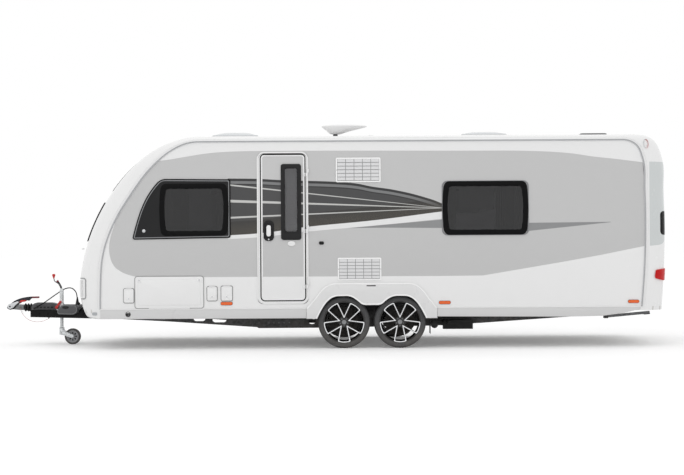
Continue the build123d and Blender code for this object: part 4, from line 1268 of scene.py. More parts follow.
@dataclass
class BodyShell:
    """The moulded front, roof and rear, and the end windows in them."""

    form: BodyForm
    # Columns: half width, low z, high z, corner radius
    nose_window: tuple[float, ...] = (860, 1290, 1760, 70)
    top_window: tuple[float, ...] = (520, 1905, 2290, 60)
    rear_window: tuple[float, ...] = (560, 1331, 1606, 45)
    lid_gap: float = 7
    border: float = 70

    def build(self) -> None:
        """Builds the three mouldings, then the windows."""
        form, wall = self.form, self.form.WALL
        form.skin(0, 2.0).thicken(4).piece("nose_lip", GELCOAT, slot="body_white")
        front = form.skin(2.0, ROOF_START)
        gap = self.lid_gap
        lid = (-LID_HALF - gap, LID_HALF + gap, LID_HEIGHTS[0] - gap, LID_HEIGHTS[1] + gap)
        opening = Shape().panel(lid, -3300, -2750, Along.X, 46)
        front.thicken(wall).piece(
            "front_moulding", GELCOAT, slot="body_white", replaces=("front_panel",),
            cutters=(opening, self.hole(self.nose_window, -3300, -2300),
                     self.hole(self.top_window, -2900, -1750)))
        form.skin(ROOF_START, ROOF_START + 1).thicken(wall).piece(
            "roof_skin", GELCOAT, slot="roof_white", replaces=("roof_panel",))
        rear = form.skin(ROOF_START + 1, LAST_ROW)
        rear.thicken(wall).piece("rear_moulding", REAR_PAINT, slot="body_white",
                                 replaces=("rear_panel",),
                                 cutters=(self.hole(self.rear_window, 3850, 4200),))
        for name in ("nose_window", "top_window", "rear_window"):
            self.window(name, getattr(self, name), name == "rear_window")
        ends = sorted(form.row_at(z, 1000, True) for z in (1280, 1660))
        wings = Shape().panel((556, 1128, 1328, 1610), 3800, 4300, Along.X, 44).both_sides()
        slab(form, *ends, 2.5, 6).piece("rear_window_wings", INK, slot="seal_black",
                                        cutters=(wings,), keep=True)

    def hole(self, window: Sequence[float], low: float, high: float) -> Shape:
        """The cutter for a window's opening, inside its black border."""
        half, z0, z1, corner = window
        inset = 30
        box = (-half + inset, half - inset, z0 + inset, z1 - inset)
        return Shape().panel(box, low, high, Along.X, corner - 10)

    def window(self, name: str, window: Sequence[float], rear: bool) -> None:
        """A bonded pane: a black border round tinted acrylic.

        Args:
            name: The pane's name.
            window: Half width, low z, high z and corner radius.
            rear: Whether it is in the rear.
        """
        half, z0, z1, corner = window
        form = self.form
        margin = 60
        ends = sorted(form.row_at(z, 0, rear) for z in (z0 - margin, z1 + margin))
        reach = (3700, 4300) if rear else (-3300, -1600)
        outer = (-half, half, z0, z1)
        inner = (-half + self.border, half - self.border, z0 + self.border, z1 - self.border)
        ring = Shape().panel(outer, *reach, Along.X, corner, rim=self.border)
        slab(form, *ends, 14, 12).piece(
            f"{name}_border", INK, slot="seal_black", cutters=(ring,), keep=True)
        full = Shape().panel(inner, *reach, Along.X, max(corner - self.border, 12))
        slab(form, *ends, 13, 6).piece(
            f"{name}_pane", GLASS, slot="tinted_pane", cutters=(full,), keep=True,
            replaces=("end_windows",))


@dataclass
class CornerRails:
    """The rails over the joints between the side walls and the mouldings."""

    form: BodyForm
    width: float = 10
    depth: float = 14
    foot_z: float = 482
    bead_away: float = 39
    bead: float = 3.2

    def build(self) -> None:
        """Builds the rail, its dark insert and the thin bead beside it."""
        form = self.form
        start, end = self.ends()
        rows = form.rows(start, end)
        self.tube(rows, self.rail_section(), 0.0).both_sides().piece(
            "rail_covers", RAIL_ALLOY, slot="rail_grey", replaces=("corner_rails",))
        self.tube(rows, ((-2.2, 0), (2.2, 0), (2.2, 2), (-2.2, 2)), self.depth - 1).both_sides(
        ).piece("rail_inserts", RAIL_INSERT, slot="rail_grey")
        around = 8

        def place(i: int, j: int) -> Vector:
            t = rows[i]
            y = form.side_line(t, self.bead_away)
            middle = form.point(t, y, self.bead * 0.2)
            out = form.normal(t, y)
            along = form.point(min(t + 0.01, LAST_ROW), y) - form.point(max(t - 0.01, 0), y)
            aside = out.cross(along).normalized()
            angle = math.tau * j / around
            return middle + (out * math.cos(angle) + aside * math.sin(angle)) * self.bead

        Shape().patch(len(rows) - 1, around, place, wrap=True).both_sides().piece(
            "moulding_beads", WHITE_PLASTIC, slot="rail_grey")

    def ends(self) -> Flat:
        """The row numbers where the rail starts and ends."""
        def short(t: float) -> bool:
            return self.form.rail.at(t).y < self.foot_z

        return halving(0.0, 6.0, short), halving(LAST_ROW, 13.0, short)

    def rail_section(self) -> list[Flat]:
        """The rail's section as (across, out) points: a low rounded cap."""
        half = self.width
        arc = [(half * math.cos(a), 4 + (self.depth - 4) * math.sin(a) ** 0.6)
               for a in [math.pi * k / 10 for k in range(11)]]
        return [(half, -2), *arc, (-half, -2)]

    def tube(self, rows: Sequence[float], section: Sequence[Flat], lift: float) -> Shape:
        """Runs a section along the joint on the far side.

        Args:
            rows: The row numbers.
            section: (across, out) points.
            lift: How far the section stands off the side.

        Returns:
            The run.
        """
        form = self.form

        def place(i: int, j: int) -> Vector:
            middle = form.rail.at(rows[i])
            out = form.outward(form.rail, rows[i])
            across, lifted = section[j % len(section)]
            spot = middle + out * across
            return Vector((spot.x, HALF_WIDTH + lift + lifted, spot.y))

        return Shape().patch(len(rows) - 1, len(section), place, wrap=True)


@dataclass
class SideDress:
    """Skirts, wheel spats, lamps and handles along the sides."""

    form: BodyForm
    front_skirt: tuple[Flat, ...] = ((-2712, 366), (-268, 363), (-268, 478), (-2712, 478))
    rear_skirt: tuple[Flat, ...] = ((1289, 376), (2809, 364), (3242, 370), (3499, 404),
                                    (3700, 450), (3700, 478), (1289, 478))
    spat: tuple[Flat, ...] = ((-266, 356), (-266, 480), (-173, 585), (-88, 705), (20, 777),
                              (1006, 777), (1114, 705), (1199, 585), (1287, 480), (1287, 356))
    arch: tuple[Flat, ...] = ((1154, 356), (1107, 454), (1035, 563), (950, 623), (762, 625),
                              (676, 572), (621, 517), (400, 517), (339, 572), (256, 627),
                              (63, 623), (-23, 563), (-95, 454), (-141, 356))
    arch_turns: tuple[float, ...] = (0, 50, 50, 48, 48, 38, 36, 36, 38, 48, 48, 50, 50, 0)
    # Columns: low x, high x, low z, high z
    amber: tuple[tuple[float, ...], ...] = ((-1285, -1142, 523, 563), (1306, 1447, 520, 560),
                                            (3550, 3684, 521, 559))

    def build(self) -> None:
        """Builds every piece along both sides."""
        dress(SIDE_PAINT, "side_wall_left", "side_wall_right")
        self.skirts()
        self.spats()
        self.side_lamps()
        self.end_lamps()
        self.handles()

    def skirts(self) -> None:
        """The skirts, with the bead along their top."""
        low, high = HALF_WIDTH, HALF_WIDTH + 12
        plates = Shape()
        for outline in (self.front_skirt, self.rear_skirt):
            plates.prism(outline, low, high, edge=3)
        plates.both_sides().piece(
            "side_skirts", SKIRT_PAINT, slot="skirt_white", replaces=("skirts",),
            cutters=(Shape().rod((-2383, -1300, 421), (-2383, 1300, 421), 27, sides=48),))
        beads = Shape()
        for x0, x1 in ((-2714, -268), (1289, 3702)):
            beads.block((x0, low, 476), (x1, high + 5, 486), 2.5)
        beads.both_sides().piece("skirt_beads", WHITE_PLASTIC, slot="skirt_white")
        rims = Shape().turned(((0, 26.5), (4, 27), (4, 31), (0, 31.5)), (-2383, high, 421))
        rims.both_sides().piece("steady_hole_rims", BLACK_PLASTIC, slot="black_plastic")

    def spats(self) -> None:
        """The wheel spats, with the lip round the arches, the bead over them and a slot. The lip and the bead are
        whiter than the spat, a painted highlight along its arches and top edge.
        """
        outline = [*self.spat, *self.arch]
        radii = [0, 6, 55, 55, 50, 50, 55, 55, 6, 0, *self.arch_turns]
        Shape().prism(outline, HALF_WIDTH, HALF_WIDTH + 27, corner=radii, edge=9).both_sides(
        ).piece("spat_covers", SPAT_PAINT, slot="spat_white", replaces=("wheel_spats",))
        # The lip is whiter than the spat: painted highlight round the arches
        lip = list(self.arch) + list(reversed(beside(self.arch, -17)))
        turns = self.arch_turns + self.arch_turns[::-1]
        Shape().prism(lip, HALF_WIDTH + 20, HALF_WIDTH + 31.5, corner=turns, edge=3).both_sides(
        ).piece("spat_lips", TRIM_WHITE_AND_HIGHLIGHT, slot="spat_white")
        # The bead is whiter than the spat: painted highlight along its top edge
        upper = list(self.spat[1:-1])
        turns = [6, 55, 55, 50, 50, 55, 55, 6]
        bead = upper + list(reversed(beside(upper, -15)))
        Shape().prism(bead, HALF_WIDTH + 21, HALF_WIDTH + 29, corner=turns + turns, edge=3.5
                      ).both_sides().piece("spat_beads", TRIM_WHITE_AND_HIGHLIGHT, slot="spat_white")
        slot = Shape().panel((449, 559, 739, 751), HALF_WIDTH + 24, HALF_WIDTH + 28.5, corner=5,
                             edge=1)
        slot.both_sides().piece("spat_slots", BLACK_PLASTIC, slot="black_plastic")

    def side_lamps(self) -> None:
        """The amber side markers in their black bases."""
        bases, lenses = Shape(), Shape()
        for x0, x1, z0, z1 in self.amber:
            bases.panel((x0 - 1, x1 + 1, z0 - 1, z1 + 1), HALF_WIDTH, HALF_WIDTH + 6, corner=20,
                        edge=1.5)
            lenses.panel((x0 + 2, x1 - 2, z0 + 2, z1 - 2), HALF_WIDTH + 4, HALF_WIDTH + 12,
                         corner=17.5, edge=4)
        bases.both_sides().piece("amber_bases", BLACK_PLASTIC, slot="black_plastic")
        lenses.both_sides().piece("amber_lenses", AMBER, slot="lamp_amber")

    def end_lamps(self) -> None:
        """The high rear markers, the low front markers and the rear lamps."""
        form = self.form
        high = oval((3780, 2414), (29, 54), 28)
        layer = slab(form, ROOF_START + 1.3, ROOF_START + 3.2, 11, 14)
        grey = Shape().prism(high, 1080, 1230).cut((3779, 0, 0), (1, 0, 0))
        self.lamp("high_marker_clear", layer.copy(), grey, CLEAR_LENS, "marker_lamps")
        red = Shape().prism(high, 1080, 1230).cut((3781, 0, 0), (-1, 0, 0))
        self.lamp("high_marker_red", layer, red, RED_LENS)
        nose = slab(form, 1.0, 2.6, 12, 14)
        front = Shape().panel((-2812, -2752, 410, 446), 1040, 1250, corner=14)
        self.lamp("front_marker", nose, front, CLEAR_LENS)
        ends = sorted(form.row_at(z, 1000, True) for z in (720, 1000))
        cover = Shape().prism(((3889, 912), (3877, 812), (3985, 786), (4100, 782), (4100, 935)),
                              700, 1200, corner=[18, 18, 12, 0, 0])
        self.lamp("rear_lamp_red", slab(form, *ends, 14, 16), cover, RED_LENS, "rear_lamps")
        strip = Shape().panel((3893, 4100, 856, 862), 720, 1200, corner=3)
        self.lamp("rear_lamp_rib", slab(form, *ends, 15.5, 6), strip, RED_LENS)

    def lamp(self, name: str, layer: Shape, outline: Shape, finish: Finish,
             node: str = "") -> None:
        """A lens on both rear or front corners, cut from a layer over the body.

        Args:
            name: The piece's name.
            layer: The layer that follows the body.
            outline: The lens's outline on the far side, pushed across.
            finish: Its finish.
            node: The CAD node it stands for, if any.
        """
        slots = {RED_LENS: "lamp_red", RECESS_SHADE_GREY: "black_plastic"}
        slot = slots.get(finish, "lamp_amber")
        layer.piece(name, finish, slot=slot, replaces=(node,) if node else (),
                    cutters=(outline.both_sides(),), keep=True)

    def handles(self) -> None:
        """The grab handles at the front corners, with a grey ring of painted shade round each one's recess."""
        shape = Shape()
        y = 1085
        shape.bar(((-2850, y, 622), (-2940, y, 620), (-2960, y, 624), (-2962, y, 660),
                   (-2962, y, 728), (-2962, y, 795), (-2960, y, 831), (-2940, y, 835),
                   (-2850, y, 833)), 11)
        for z in (622, 833):
            shape.rod((-2905, y, z), (-2930, y, z), 20, 15, edge=2)
        shape.both_sides().piece("handle_bars", WHITE_PLASTIC, slot="black_plastic",
                                 replaces=("grab_handles",))
        # The grey ring round each handle is painted shade for its recess
        ends = sorted(self.form.row_at(z, y) for z in (560, 900))
        recess = Shape().panel((-3010, -2890, 598, 857), 1000, 1185, corner=36, rim=13)
        self.lamp("handle_recess", slab(self.form, *ends, 4, 6), recess, RECESS_SHADE_GREY)


@dataclass
class SideWindows:
    """The hinged windows in the side walls, and the curtains behind them."""

    form: BodyForm
    # Columns: side, low x, high x, low z, high z
    panes: tuple[tuple[float, ...], ...] = (
        (-1, -2006, -1181, 1346, 1969), (-1, 1354, 2375, 1341, 1979),
        (1, -2006, -1181, 1346, 1969), (1, -560, 180, 1420, 1969), (1, 1354, 2375, 1341, 1979),
    )
    surround: tuple[Flat, ...] = ((-2326, 1330), (-2310, 1307), (-1160, 1322), (-1160, 2018),
                                  (-1992, 2027), (-2120, 1878), (-2215, 1700), (-2282, 1500))
    curtain_x: tuple[Flat, ...] = ((-1975, -1840), (-1330, -1205), (1385, 1520), (2210, 2345))
    curtain_z: Flat = (1330, 1990)
    blinds: tuple[tuple[float, ...], ...] = ((-1660, -1395, 1390, 1905), (1560, 1980, 1640, 1930))
    border: float = 62

    def build(self) -> None:
        """Builds frames, panes, catches and curtains."""
        wall = HALF_WIDTH
        black, glass, bright, rims, fields, bases = (Shape() for _ in range(6))
        opening = Shape().prism(beside(self.outline(*self.panes[0][1:], 0), 14, True), wall - 40, wall + 60,
                                corner=self.radii(60)).both_sides()
        for side, x0, x1, z0, z1 in self.panes:
            outer = self.outline(x0, x1, z0, z1, 0)
            inner = self.outline(x0, x1, z0, z1, self.border)
            frame, pane, metal, rim, plate, base = (Shape() for _ in range(6))
            corners = self.radii(62), self.radii(30)
            if x0 < -2000:
                base.prism(self.surround, wall, wall + 9, edge=3,
                           corner=[10, 12, 24, 24, 60, 92, 96, 86])
                metal.turned(((0, 0), (0, 23), (3, 23), (9, 19), (14, 11), (16, 0)),
                             (-2190, wall + 9, 1410), closed=False, steps=48)
                rim.prism(beside(self.surround, 15, True), wall + 6, wall + 10.3,
                          corner=[5, 5, 18, 18, 50, 88, 92, 82])
                plate.prism(beside(self.surround, 25, True), wall + 6, wall + 11.2,
                            corner=[1, 1, 14, 14, 44, 84, 88, 78])
            else:
                rim.panel((x0 - 5, x1 + 5, z0 - 5, z1 + 5), wall, wall + 7, corner=64,
                          edge=2, rim=14)
            frame.prism(outer, wall + 7, wall + 15, corner=corners[0], edge=2.5,
                        holes=((inner, corners[1]),))
            pane.prism(beside(inner, -2, True), wall + 9, wall + 13.5, corner=corners[1])
            for x in (x0 + (x1 - x0) * 0.28, x0 + (x1 - x0) * 0.72):
                frame.block((x - 26, wall - 20, z0 + 52), (x + 26, wall + 6, z0 + 74), 4)
            for part, whole in ((frame, black), (pane, glass), (metal, bright), (rim, rims),
                                (plate, fields), (base, bases)):
                self.add(part, whole, side)
        black.piece("window_borders", INK, slot="seal_black", replaces=("window_frames",))
        glass.piece("window_acrylic", GLASS, slot="tinted_pane", replaces=("window_panes",))
        bright.piece("window_catches", BRIGHT_STEEL, slot="alloy_rim")
        bases.piece("window_surrounds", INK, slot="seal_black", cutters=(opening.copy(),))
        rims.piece("window_rims", RAIL_INSERT, slot="rail_grey", cutters=(opening.copy(),))
        fields.piece("window_fields", CHARCOAL, slot="seal_black", cutters=(opening,))
        blinds = Shape()
        for x0, x1, z0, z1 in self.blinds:
            blinds.panel((x0, x1, z0, z1), wall - 72, wall - 69, corner=6, edge=1)
        blinds.both_sides().piece("window_blinds", WHITE_PLASTIC, slot="door_white")
        self.curtains()

    def add(self, part: Shape, whole: Shape, side: float) -> None:
        """Adds a part made for the far side to a whole, on its own side."""
        if side < 0:
            bmesh.ops.scale(part.bm, verts=part.bm.verts, vec=(1, -1, 1))
            bmesh.ops.reverse_faces(part.bm, faces=part.bm.faces)
        whole.take(part.bm)

    def outline(self, x0: float, x1: float, z0: float, z1: float, inset: float) -> list[Flat]:
        """A pane's outline with its bowed ends, moved in by an inset."""
        a0, a1, b0, b1 = x0 + inset, x1 - inset, z0 + inset, z1 - inset
        bulge = 22
        ends = [(k / 4, bulge * (1 - (1 - k / 2) ** 2)) for k in range(1, 4)]
        right = [(a1 - bulge + out, b0 + (b1 - b0) * share) for share, out in ends]
        left = [(a0 + bulge - out, b1 - (b1 - b0) * share) for share, out in ends]
        return [(a0 + bulge, b0), (a1 - bulge, b0), *right, (a1 - bulge, b1), (a0 + bulge, b1),
                *left]

    def radii(self, corner: float) -> list[float]:
        """The corner radii that go with an outline."""
        return [corner, corner, 40, 40, 40, corner, corner, 40, 40, 40]

    def curtains(self) -> None:
        """A pleated curtain at each end of the large windows."""
        number = 0
        for side in Side:
            for x0, x1 in self.curtain_x:
                number += 1
                made = self.curtain(f"curtain_{number}", side, x0, x1)
                if number == 1:
                    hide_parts("curtains")

    def curtain(self, name: str, side: Side, x0: float, x1: float) -> bpy.types.Object:
        """One curtain, gathered into pleats.

        Args:
            name: The piece's name.
            side: The long side it hangs on.
            x0: Its low end along the caravan.
            x1: Its high end.

        Returns:
            The curtain.
        """
        columns, rows, pleats, deep = 96, 16, 6, 8.0
        z0, z1 = self.curtain_z

        def place(i: int, j: int) -> Vector:
            share, drop = i / columns, j / rows
            wave = math.sin(math.tau * pleats * share + 0.5 * math.sin(3 * share + drop))
            depth = deep * (0.75 + 0.2 * math.sin(5 * share + 2 * drop))
            return Vector((x0 + (x1 - x0) * share, side.value * (1137 + depth * wave),
                           z0 + (z1 - z0) * drop))

        shape = Shape().patch(columns, rows, place)
        runs = [0.0]
        for i in range(columns):
            runs.append(runs[-1] + (place(i + 1, 8) - place(i, 8)).length * MM)
        weave = shape.bm.loops.layers.uv.new("weave")
        for face in shape.bm.faces:
            for loop in face.loops:
                share = (loop.vert.co.x - x0) / (x1 - x0) * columns
                loop[weave].uv = (runs[min(round(share), columns)], loop.vert.co.z * MM)
        made = shape.thicken(0.8).piece(name, CURTAIN, slot="curtain_grey")
        return made


@dataclass
class Door:
    """The entrance door, its frame, window, handle and catch."""

    x: Flat = (-828, -256)
    z: Flat = (551, 2318)
    corner: float = 65
    hinge: Flat = (-248, FACE - 26)
    hinge_z: tuple[float, ...] = (760, 1420, 2090)
    pane: tuple[float, ...] = (-562, -320, 1293, 2195)

    def build(self) -> None:
        """Builds the fixed frame, then what swings."""
        self.fixed()
        self.leaf()
        self.window()
        self.handle()

    def box(self, grow: float) -> Box:
        """The leaf's outline, grown by an amount."""
        return (self.x[0] - grow, self.x[1] + grow, self.z[0] - grow, self.z[1] + grow)

    def fixed(self) -> None:
        """The frame, the seal and the keeper on the wall."""
        frame = Shape().panel((-846, -238, 535, 2340), FACE, FACE - 11, corner=84, edge=3, rim=17)
        frame.panel(self.box(16), FACE + 32, FACE - 1, corner=80, rim=10)
        for z in self.hinge_z:
            frame.rod((*self.hinge, z + 1), (*self.hinge, z + 45), 6, edge=1.5)
            frame.block((self.hinge[0], FACE - 28, z + 2), (self.hinge[0] + 18, FACE - 8, z + 44), 2)
        frame.piece("door_surround", WHITE_PLASTIC, slot="door_white", replaces=("door_frame",))
        Shape().panel(self.box(16), FACE + 6, FACE - 3, corner=79, edge=2, rim=15).piece(
            "door_seal", SOFT_SEAL, slot="seal_black")
        keeper = Shape().panel((-112, -54, 1236, 1274), FACE, FACE - 14, corner=16, edge=4)
        keeper.block((-92, FACE - 26, 1246), (-74, FACE - 12, 1264), 4)
        keeper.piece("door_keeper", BLACK_PLASTIC, slot="black_plastic")

    def leaf(self) -> None:
        """The leaf's outer skin, its pale double border, its gasket, lining and bin."""
        a0, a1, b0, b1 = self.pane
        window = Shape().panel((a0 + 40, a1 - 40, b0 + 60, b1 - 40), FACE + 40, FACE - 25, corner=22)
        skin = Shape().panel(self.box(0), FACE + 10, FACE - 8, corner=self.corner, edge=2)
        skin.piece("door_skin", SIDE_PAINT, "door", "door_white", ("entrance_door",),
                   cutters=(window.copy(),))
        Shape().panel(self.box(-2), FACE + 28, FACE + 10, corner=self.corner, edge=3).piece(
            "door_lining", LINING, "door", "door_white", cutters=(window,))
        border = Shape().panel(self.box(-1), FACE - 6, FACE - 10.5, corner=self.corner, edge=1.5,
                               rim=18)
        border.panel((-798, -279, 578, 2305), FACE - 6, FACE - 10.5, corner=44, edge=1.5, rim=18)
        Shape().panel((-811, -266, 565, 2318), FACE - 6, FACE - 11.5, corner=56, edge=1.5,
                      rim=14).piece("door_gasket", SEAL, "door", "seal_black")
        for z in self.hinge_z:
            border.rod((*self.hinge, z - 45), (*self.hinge, z), 6, edge=1.5)
            border.block((self.x[1] - 22, FACE - 30, z - 44), (self.hinge[0], FACE - 21, z - 1), 2)
            border.block((self.x[1] - 34, FACE - 30, z - 44), (self.x[1] - 8, FACE - 8, z - 1), 3)
        border.piece("door_border", WHITE_PLASTIC, "door", "door_white")
        bin_ = Shape().panel((-780, -300, 700, 1000), FACE + 28, FACE + 70, corner=30, edge=8)
        hollow = Shape().block((-765, FACE + 38, 735), (-315, FACE + 62, 1100))
        bin_.piece("door_bin", LINING, "door", "door_white", cutters=(hollow,))

    def window(self) -> None:
        """The leaf's window: a black moulded ring round tinted acrylic."""
        a0, a1, b0, b1 = self.pane
        blind = Shape().panel((a0 + 42, a1 - 42, b0 + 66, b1 - 44), FACE + 14, FACE + 11, corner=8)
        for k in range(24):
            z = b0 + 90 + (b1 - b0 - 150) * k / 24
            blind.block((a0 + 46, FACE + 7, z), (a1 - 46, FACE + 12, z + 9), 1.5)
        blind.piece("door_blind", WHITE_PLASTIC, "door", "door_white")
        ring = Shape().prism(rectangle((a0, a1, b0, b1)), FACE - 7, FACE - 19, corner=30, edge=4,
                             holes=((rectangle((a0 + 50, a1 - 50, b0 + 100, b1 - 54)), 22),))
        ring.panel((a0 + 38, a1 - 38, b0 + 88, b1 - 42), FACE - 17, FACE - 22, corner=26, edge=2,
                   rim=10)
        ring.piece("door_window_ring", BLACK_PLASTIC, "door", "black_plastic")
        Shape().panel((a0 + 44, a1 - 44, b0 + 94, b1 - 48), FACE - 10, FACE - 16, corner=22).piece(
            "door_window_pane", PALE_GLASS, "door", "tinted_pane", ("door_window",))

    def handle(self) -> None:
        """The handle's black housing and pale grip, and the catch."""
        housing = Shape().panel((-769, -646, 1282, 1527), FACE - 8, FACE - 22, corner=52, edge=5)
        housing.piece("handle_housing", BLACK_PLASTIC, "door", "black_plastic",
                      ("door_handle",),
                      cutters=(Shape().panel((-748, -667, 1312, 1497), FACE - 15, FACE - 35,
                                             corner=34),))
        grip = Shape().panel((-734, -682, 1336, 1470), FACE - 17, FACE - 40, corner=24, edge=7)
        grip.piece("handle_grip", WHITE_PLASTIC, "door", "black_plastic",
                   cutters=(Shape().panel((-760, -655, 1362, 1444), FACE - 10, FACE - 29, corner=14),))
        lock = Shape().turned(((0, 0), (0, 9), (3, 9), (4, 7), (4, 0)), (-708, FACE - 22, 1301),
                              flip=-1, closed=False, steps=32)
        lock.piece("handle_lock", BRIGHT_STEEL, "door", "black_plastic")
        catch = Shape().prism(oval((-439, 1250), (44, 30), 36), FACE - 8, FACE - 21, edge=4)
        catch.piece("door_catch", WHITE_PLASTIC, "door", "door_white",
                    cutters=(Shape().panel((-462, -416, 1241, 1259), FACE - 15, FACE - 30,
                                           corner=6),))


class HingeEdge(Enum):
    """The edge that a hatch turns about."""

    TOP = 1
    BOTTOM = -1


@dataclass
class Hatches:
    """The locker hatch, the toilet hatch and the small flaps."""

    # Columns: CAD node, body, side, low x, high x, low z, high z, corner, hinge edge
    rows: tuple[tuple, ...] = (
        ("side_locker_hatch", "locker_hatch", Side.DOOR, -2297, -1489, 493, 866, 28,
         HingeEdge.BOTTOM),
        ("water_inlet_flap", "water_flap", Side.DOOR, -2432, -2316, 560, 724, 16,
         HingeEdge.TOP),
        ("mains_inlet_flap", "mains_flap", Side.DOOR, -1442, -1327, 579, 743, 16,
         HingeEdge.TOP),
        ("gas_outlet_flap", "gas_flap", Side.DOOR, -1275, -1146, 578, 748, 16, HingeEdge.TOP),
        ("toilet_hatch", "toilet_door", Side.FAR, 2680, 3090, 560, 930, 28, HingeEdge.BOTTOM),
    )

    def build(self) -> None:
        """Builds each hatch with its seal, frame and locks."""
        dress(BLACK_PLASTIC, "inlet_boxes")
        for node, body, side, x0, x1, z0, z1, corner, edge in self.rows:
            large = x1 - x0 > 200
            if large:
                self.hatch(node, body, side, (x0, x1, z0, z1), corner)
            else:
                self.flap(node, body, side, (x0, x1, z0, z1), corner)
            hinge_z = z1 + 1 if edge is HingeEdge.TOP else z0 - 1
            reach = (x1 - x0) * 0.3
            middle = (x0 + x1) / 2
            y = self.off(side, 13 if large else 17)
            Shape().rod((middle - reach, y, hinge_z), (middle + reach, y, hinge_z), 5,
                        edge=1.5).piece(
                f"{node}_knuckle", WHITE_PLASTIC, body, "door_white")
            frame = Shape().panel((x0 - 9, x1 + 9, z0 - 9, z1 + 9), self.off(side, 0),
                                  self.off(side, 5), corner=corner + 8, edge=2, rim=9)
            frame.piece(f"{node}_seal", SOFT_SEAL, slot="seal_black")

    def off(self, side: Side, away: float) -> float:
        """The place across that lies a distance off a side wall."""
        return side.value * (HALF_WIDTH + away)

    def hatch(self, node: str, body: str, side: Side, box: tuple[float, ...],
              corner: float) -> None:
        """A large hatch with a stepped face and two locks.

        Args:
            node: The CAD node it stands for.
            body: The body it rides on.
            side: Its long side.
            box: Its outline.
            corner: Its corner radius.
        """
        x0, x1, z0, z1 = box
        shape = Shape().panel((x0, x1, z0, z1), self.off(side, -30), self.off(side, 9),
                              corner=corner, edge=3)
        shape.panel((x0 + 34, x1 - 34, z0 + 34, z1 - 34), self.off(side, 8),
                    self.off(side, 14), corner=corner, edge=4)
        shape.piece(f"{node}_leaf", GELCOAT, body, "door_white", (node,))
        locks, bores = Shape(), Shape()
        for x in (x0 + 46, x1 - 46):
            locks.panel((x - 24, x + 24, z1 - 62, z1 - 22), self.off(side, 12),
                        self.off(side, 17), corner=14, edge=2)
            bores.rod((x, self.off(side, 14), z1 - 42), (x, self.off(side, 20), z1 - 42),
                      10, edge=1.5)
        locks.piece(f"{node}_locks", WHITE_PLASTIC, body, "door_white")
        bores.piece(f"{node}_bores", BRIGHT_STEEL, body, "door_white")

    def flap(self, node: str, body: str, side: Side, box: tuple[float, ...],
             corner: float) -> None:
        """A small lidded flap with a finger lip and a round lock."""
        x0, x1, z0, z1 = box
        shape = Shape().panel((x0, x1, z0, z1), self.off(side, 6), self.off(side, 14),
                              corner=corner, edge=3)
        shape.panel((x0 + 15, x1 - 15, z0 + 30, z1 - 15), self.off(side, 12),
                    self.off(side, 17), corner=corner * 0.8, edge=3)
        middle = (x0 + x1) / 2
        shape.panel((middle - 24, middle + 24, z0 + 6, z0 + 18), self.off(side, 12),
                    self.off(side, 19), corner=5, edge=2)
        shape.piece(f"{node}_lid", WHITE_PLASTIC, body, "door_white", (node,))
        Shape().rod((middle, self.off(side, 15), z0 + 46),
                    (middle, self.off(side, 19), z0 + 46), 8, edge=1).piece(
            f"{node}_lock", BRIGHT_STEEL, body, "door_white")


@dataclass
class FridgeVents:
    """The two louvred vents on the door side."""

    # Columns: low x, high x, low z, high z
    boxes: tuple[tuple[float, ...], ...] = ((92, 624, 1974, 2266), (108, 626, 809, 1078))
    rim: float = 17
    slats: int = 6
    dividers: int = 4

    def build(self) -> None:
        """Builds rims and columns of tilted slats over a grey back, which is painted shade for the hollow behind
        them.
        """
        white, dark, slats = Shape(), Shape(), Shape()
        for x0, x1, z0, z1 in self.boxes:
            white.panel((x0, x1, z0, z1), FACE, FACE - 11, corner=16, edge=3,
                        rim=self.rim)
            a0, a1, b0, b1 = x0 + self.rim, x1 - self.rim, z0 + self.rim, z1 - self.rim
            # The grey back is painted shade for the hollow behind the slats
            dark.block((a0 - 2, FACE, b0 - 2), (a1 + 2, FACE - 2, b1 + 2))
            pitch, wide = (b1 - b0) / self.slats, (a1 - a0) / (self.dividers + 1)
            for k in range(self.slats * (self.dividers + 1)):
                z, x = b0 + pitch * (k % self.slats), a0 + wide * (k // self.slats)
                slats.prism(((FACE - 2, z + pitch * 0.94), (FACE - 4, z + pitch),
                             (FACE - 10, z + pitch * 0.26),
                             (FACE - 10, z + pitch * 0.14),
                             (FACE - 8.5, z + pitch * 0.14)), x + 3, x + wide - 3, Along.X)
            for x in (x0 + 9, x1 - 9):
                dark.rod((x, FACE - 10, (z0 + z1) / 2), (x, FACE - 12, (z0 + z1) / 2),
                         4.5, sides=16, edge=0.5)
        slats.piece("vent_slats", SLAT_GREY, slot="vent_white")
        white.piece("vent_grilles", TRIM_WHITE_AND_HIGHLIGHT, slot="vent_white",
                    replaces=("fridge_vents",))
        dark.piece("vent_backs", RECESS_SHADE_GREY, slot="vent_white")


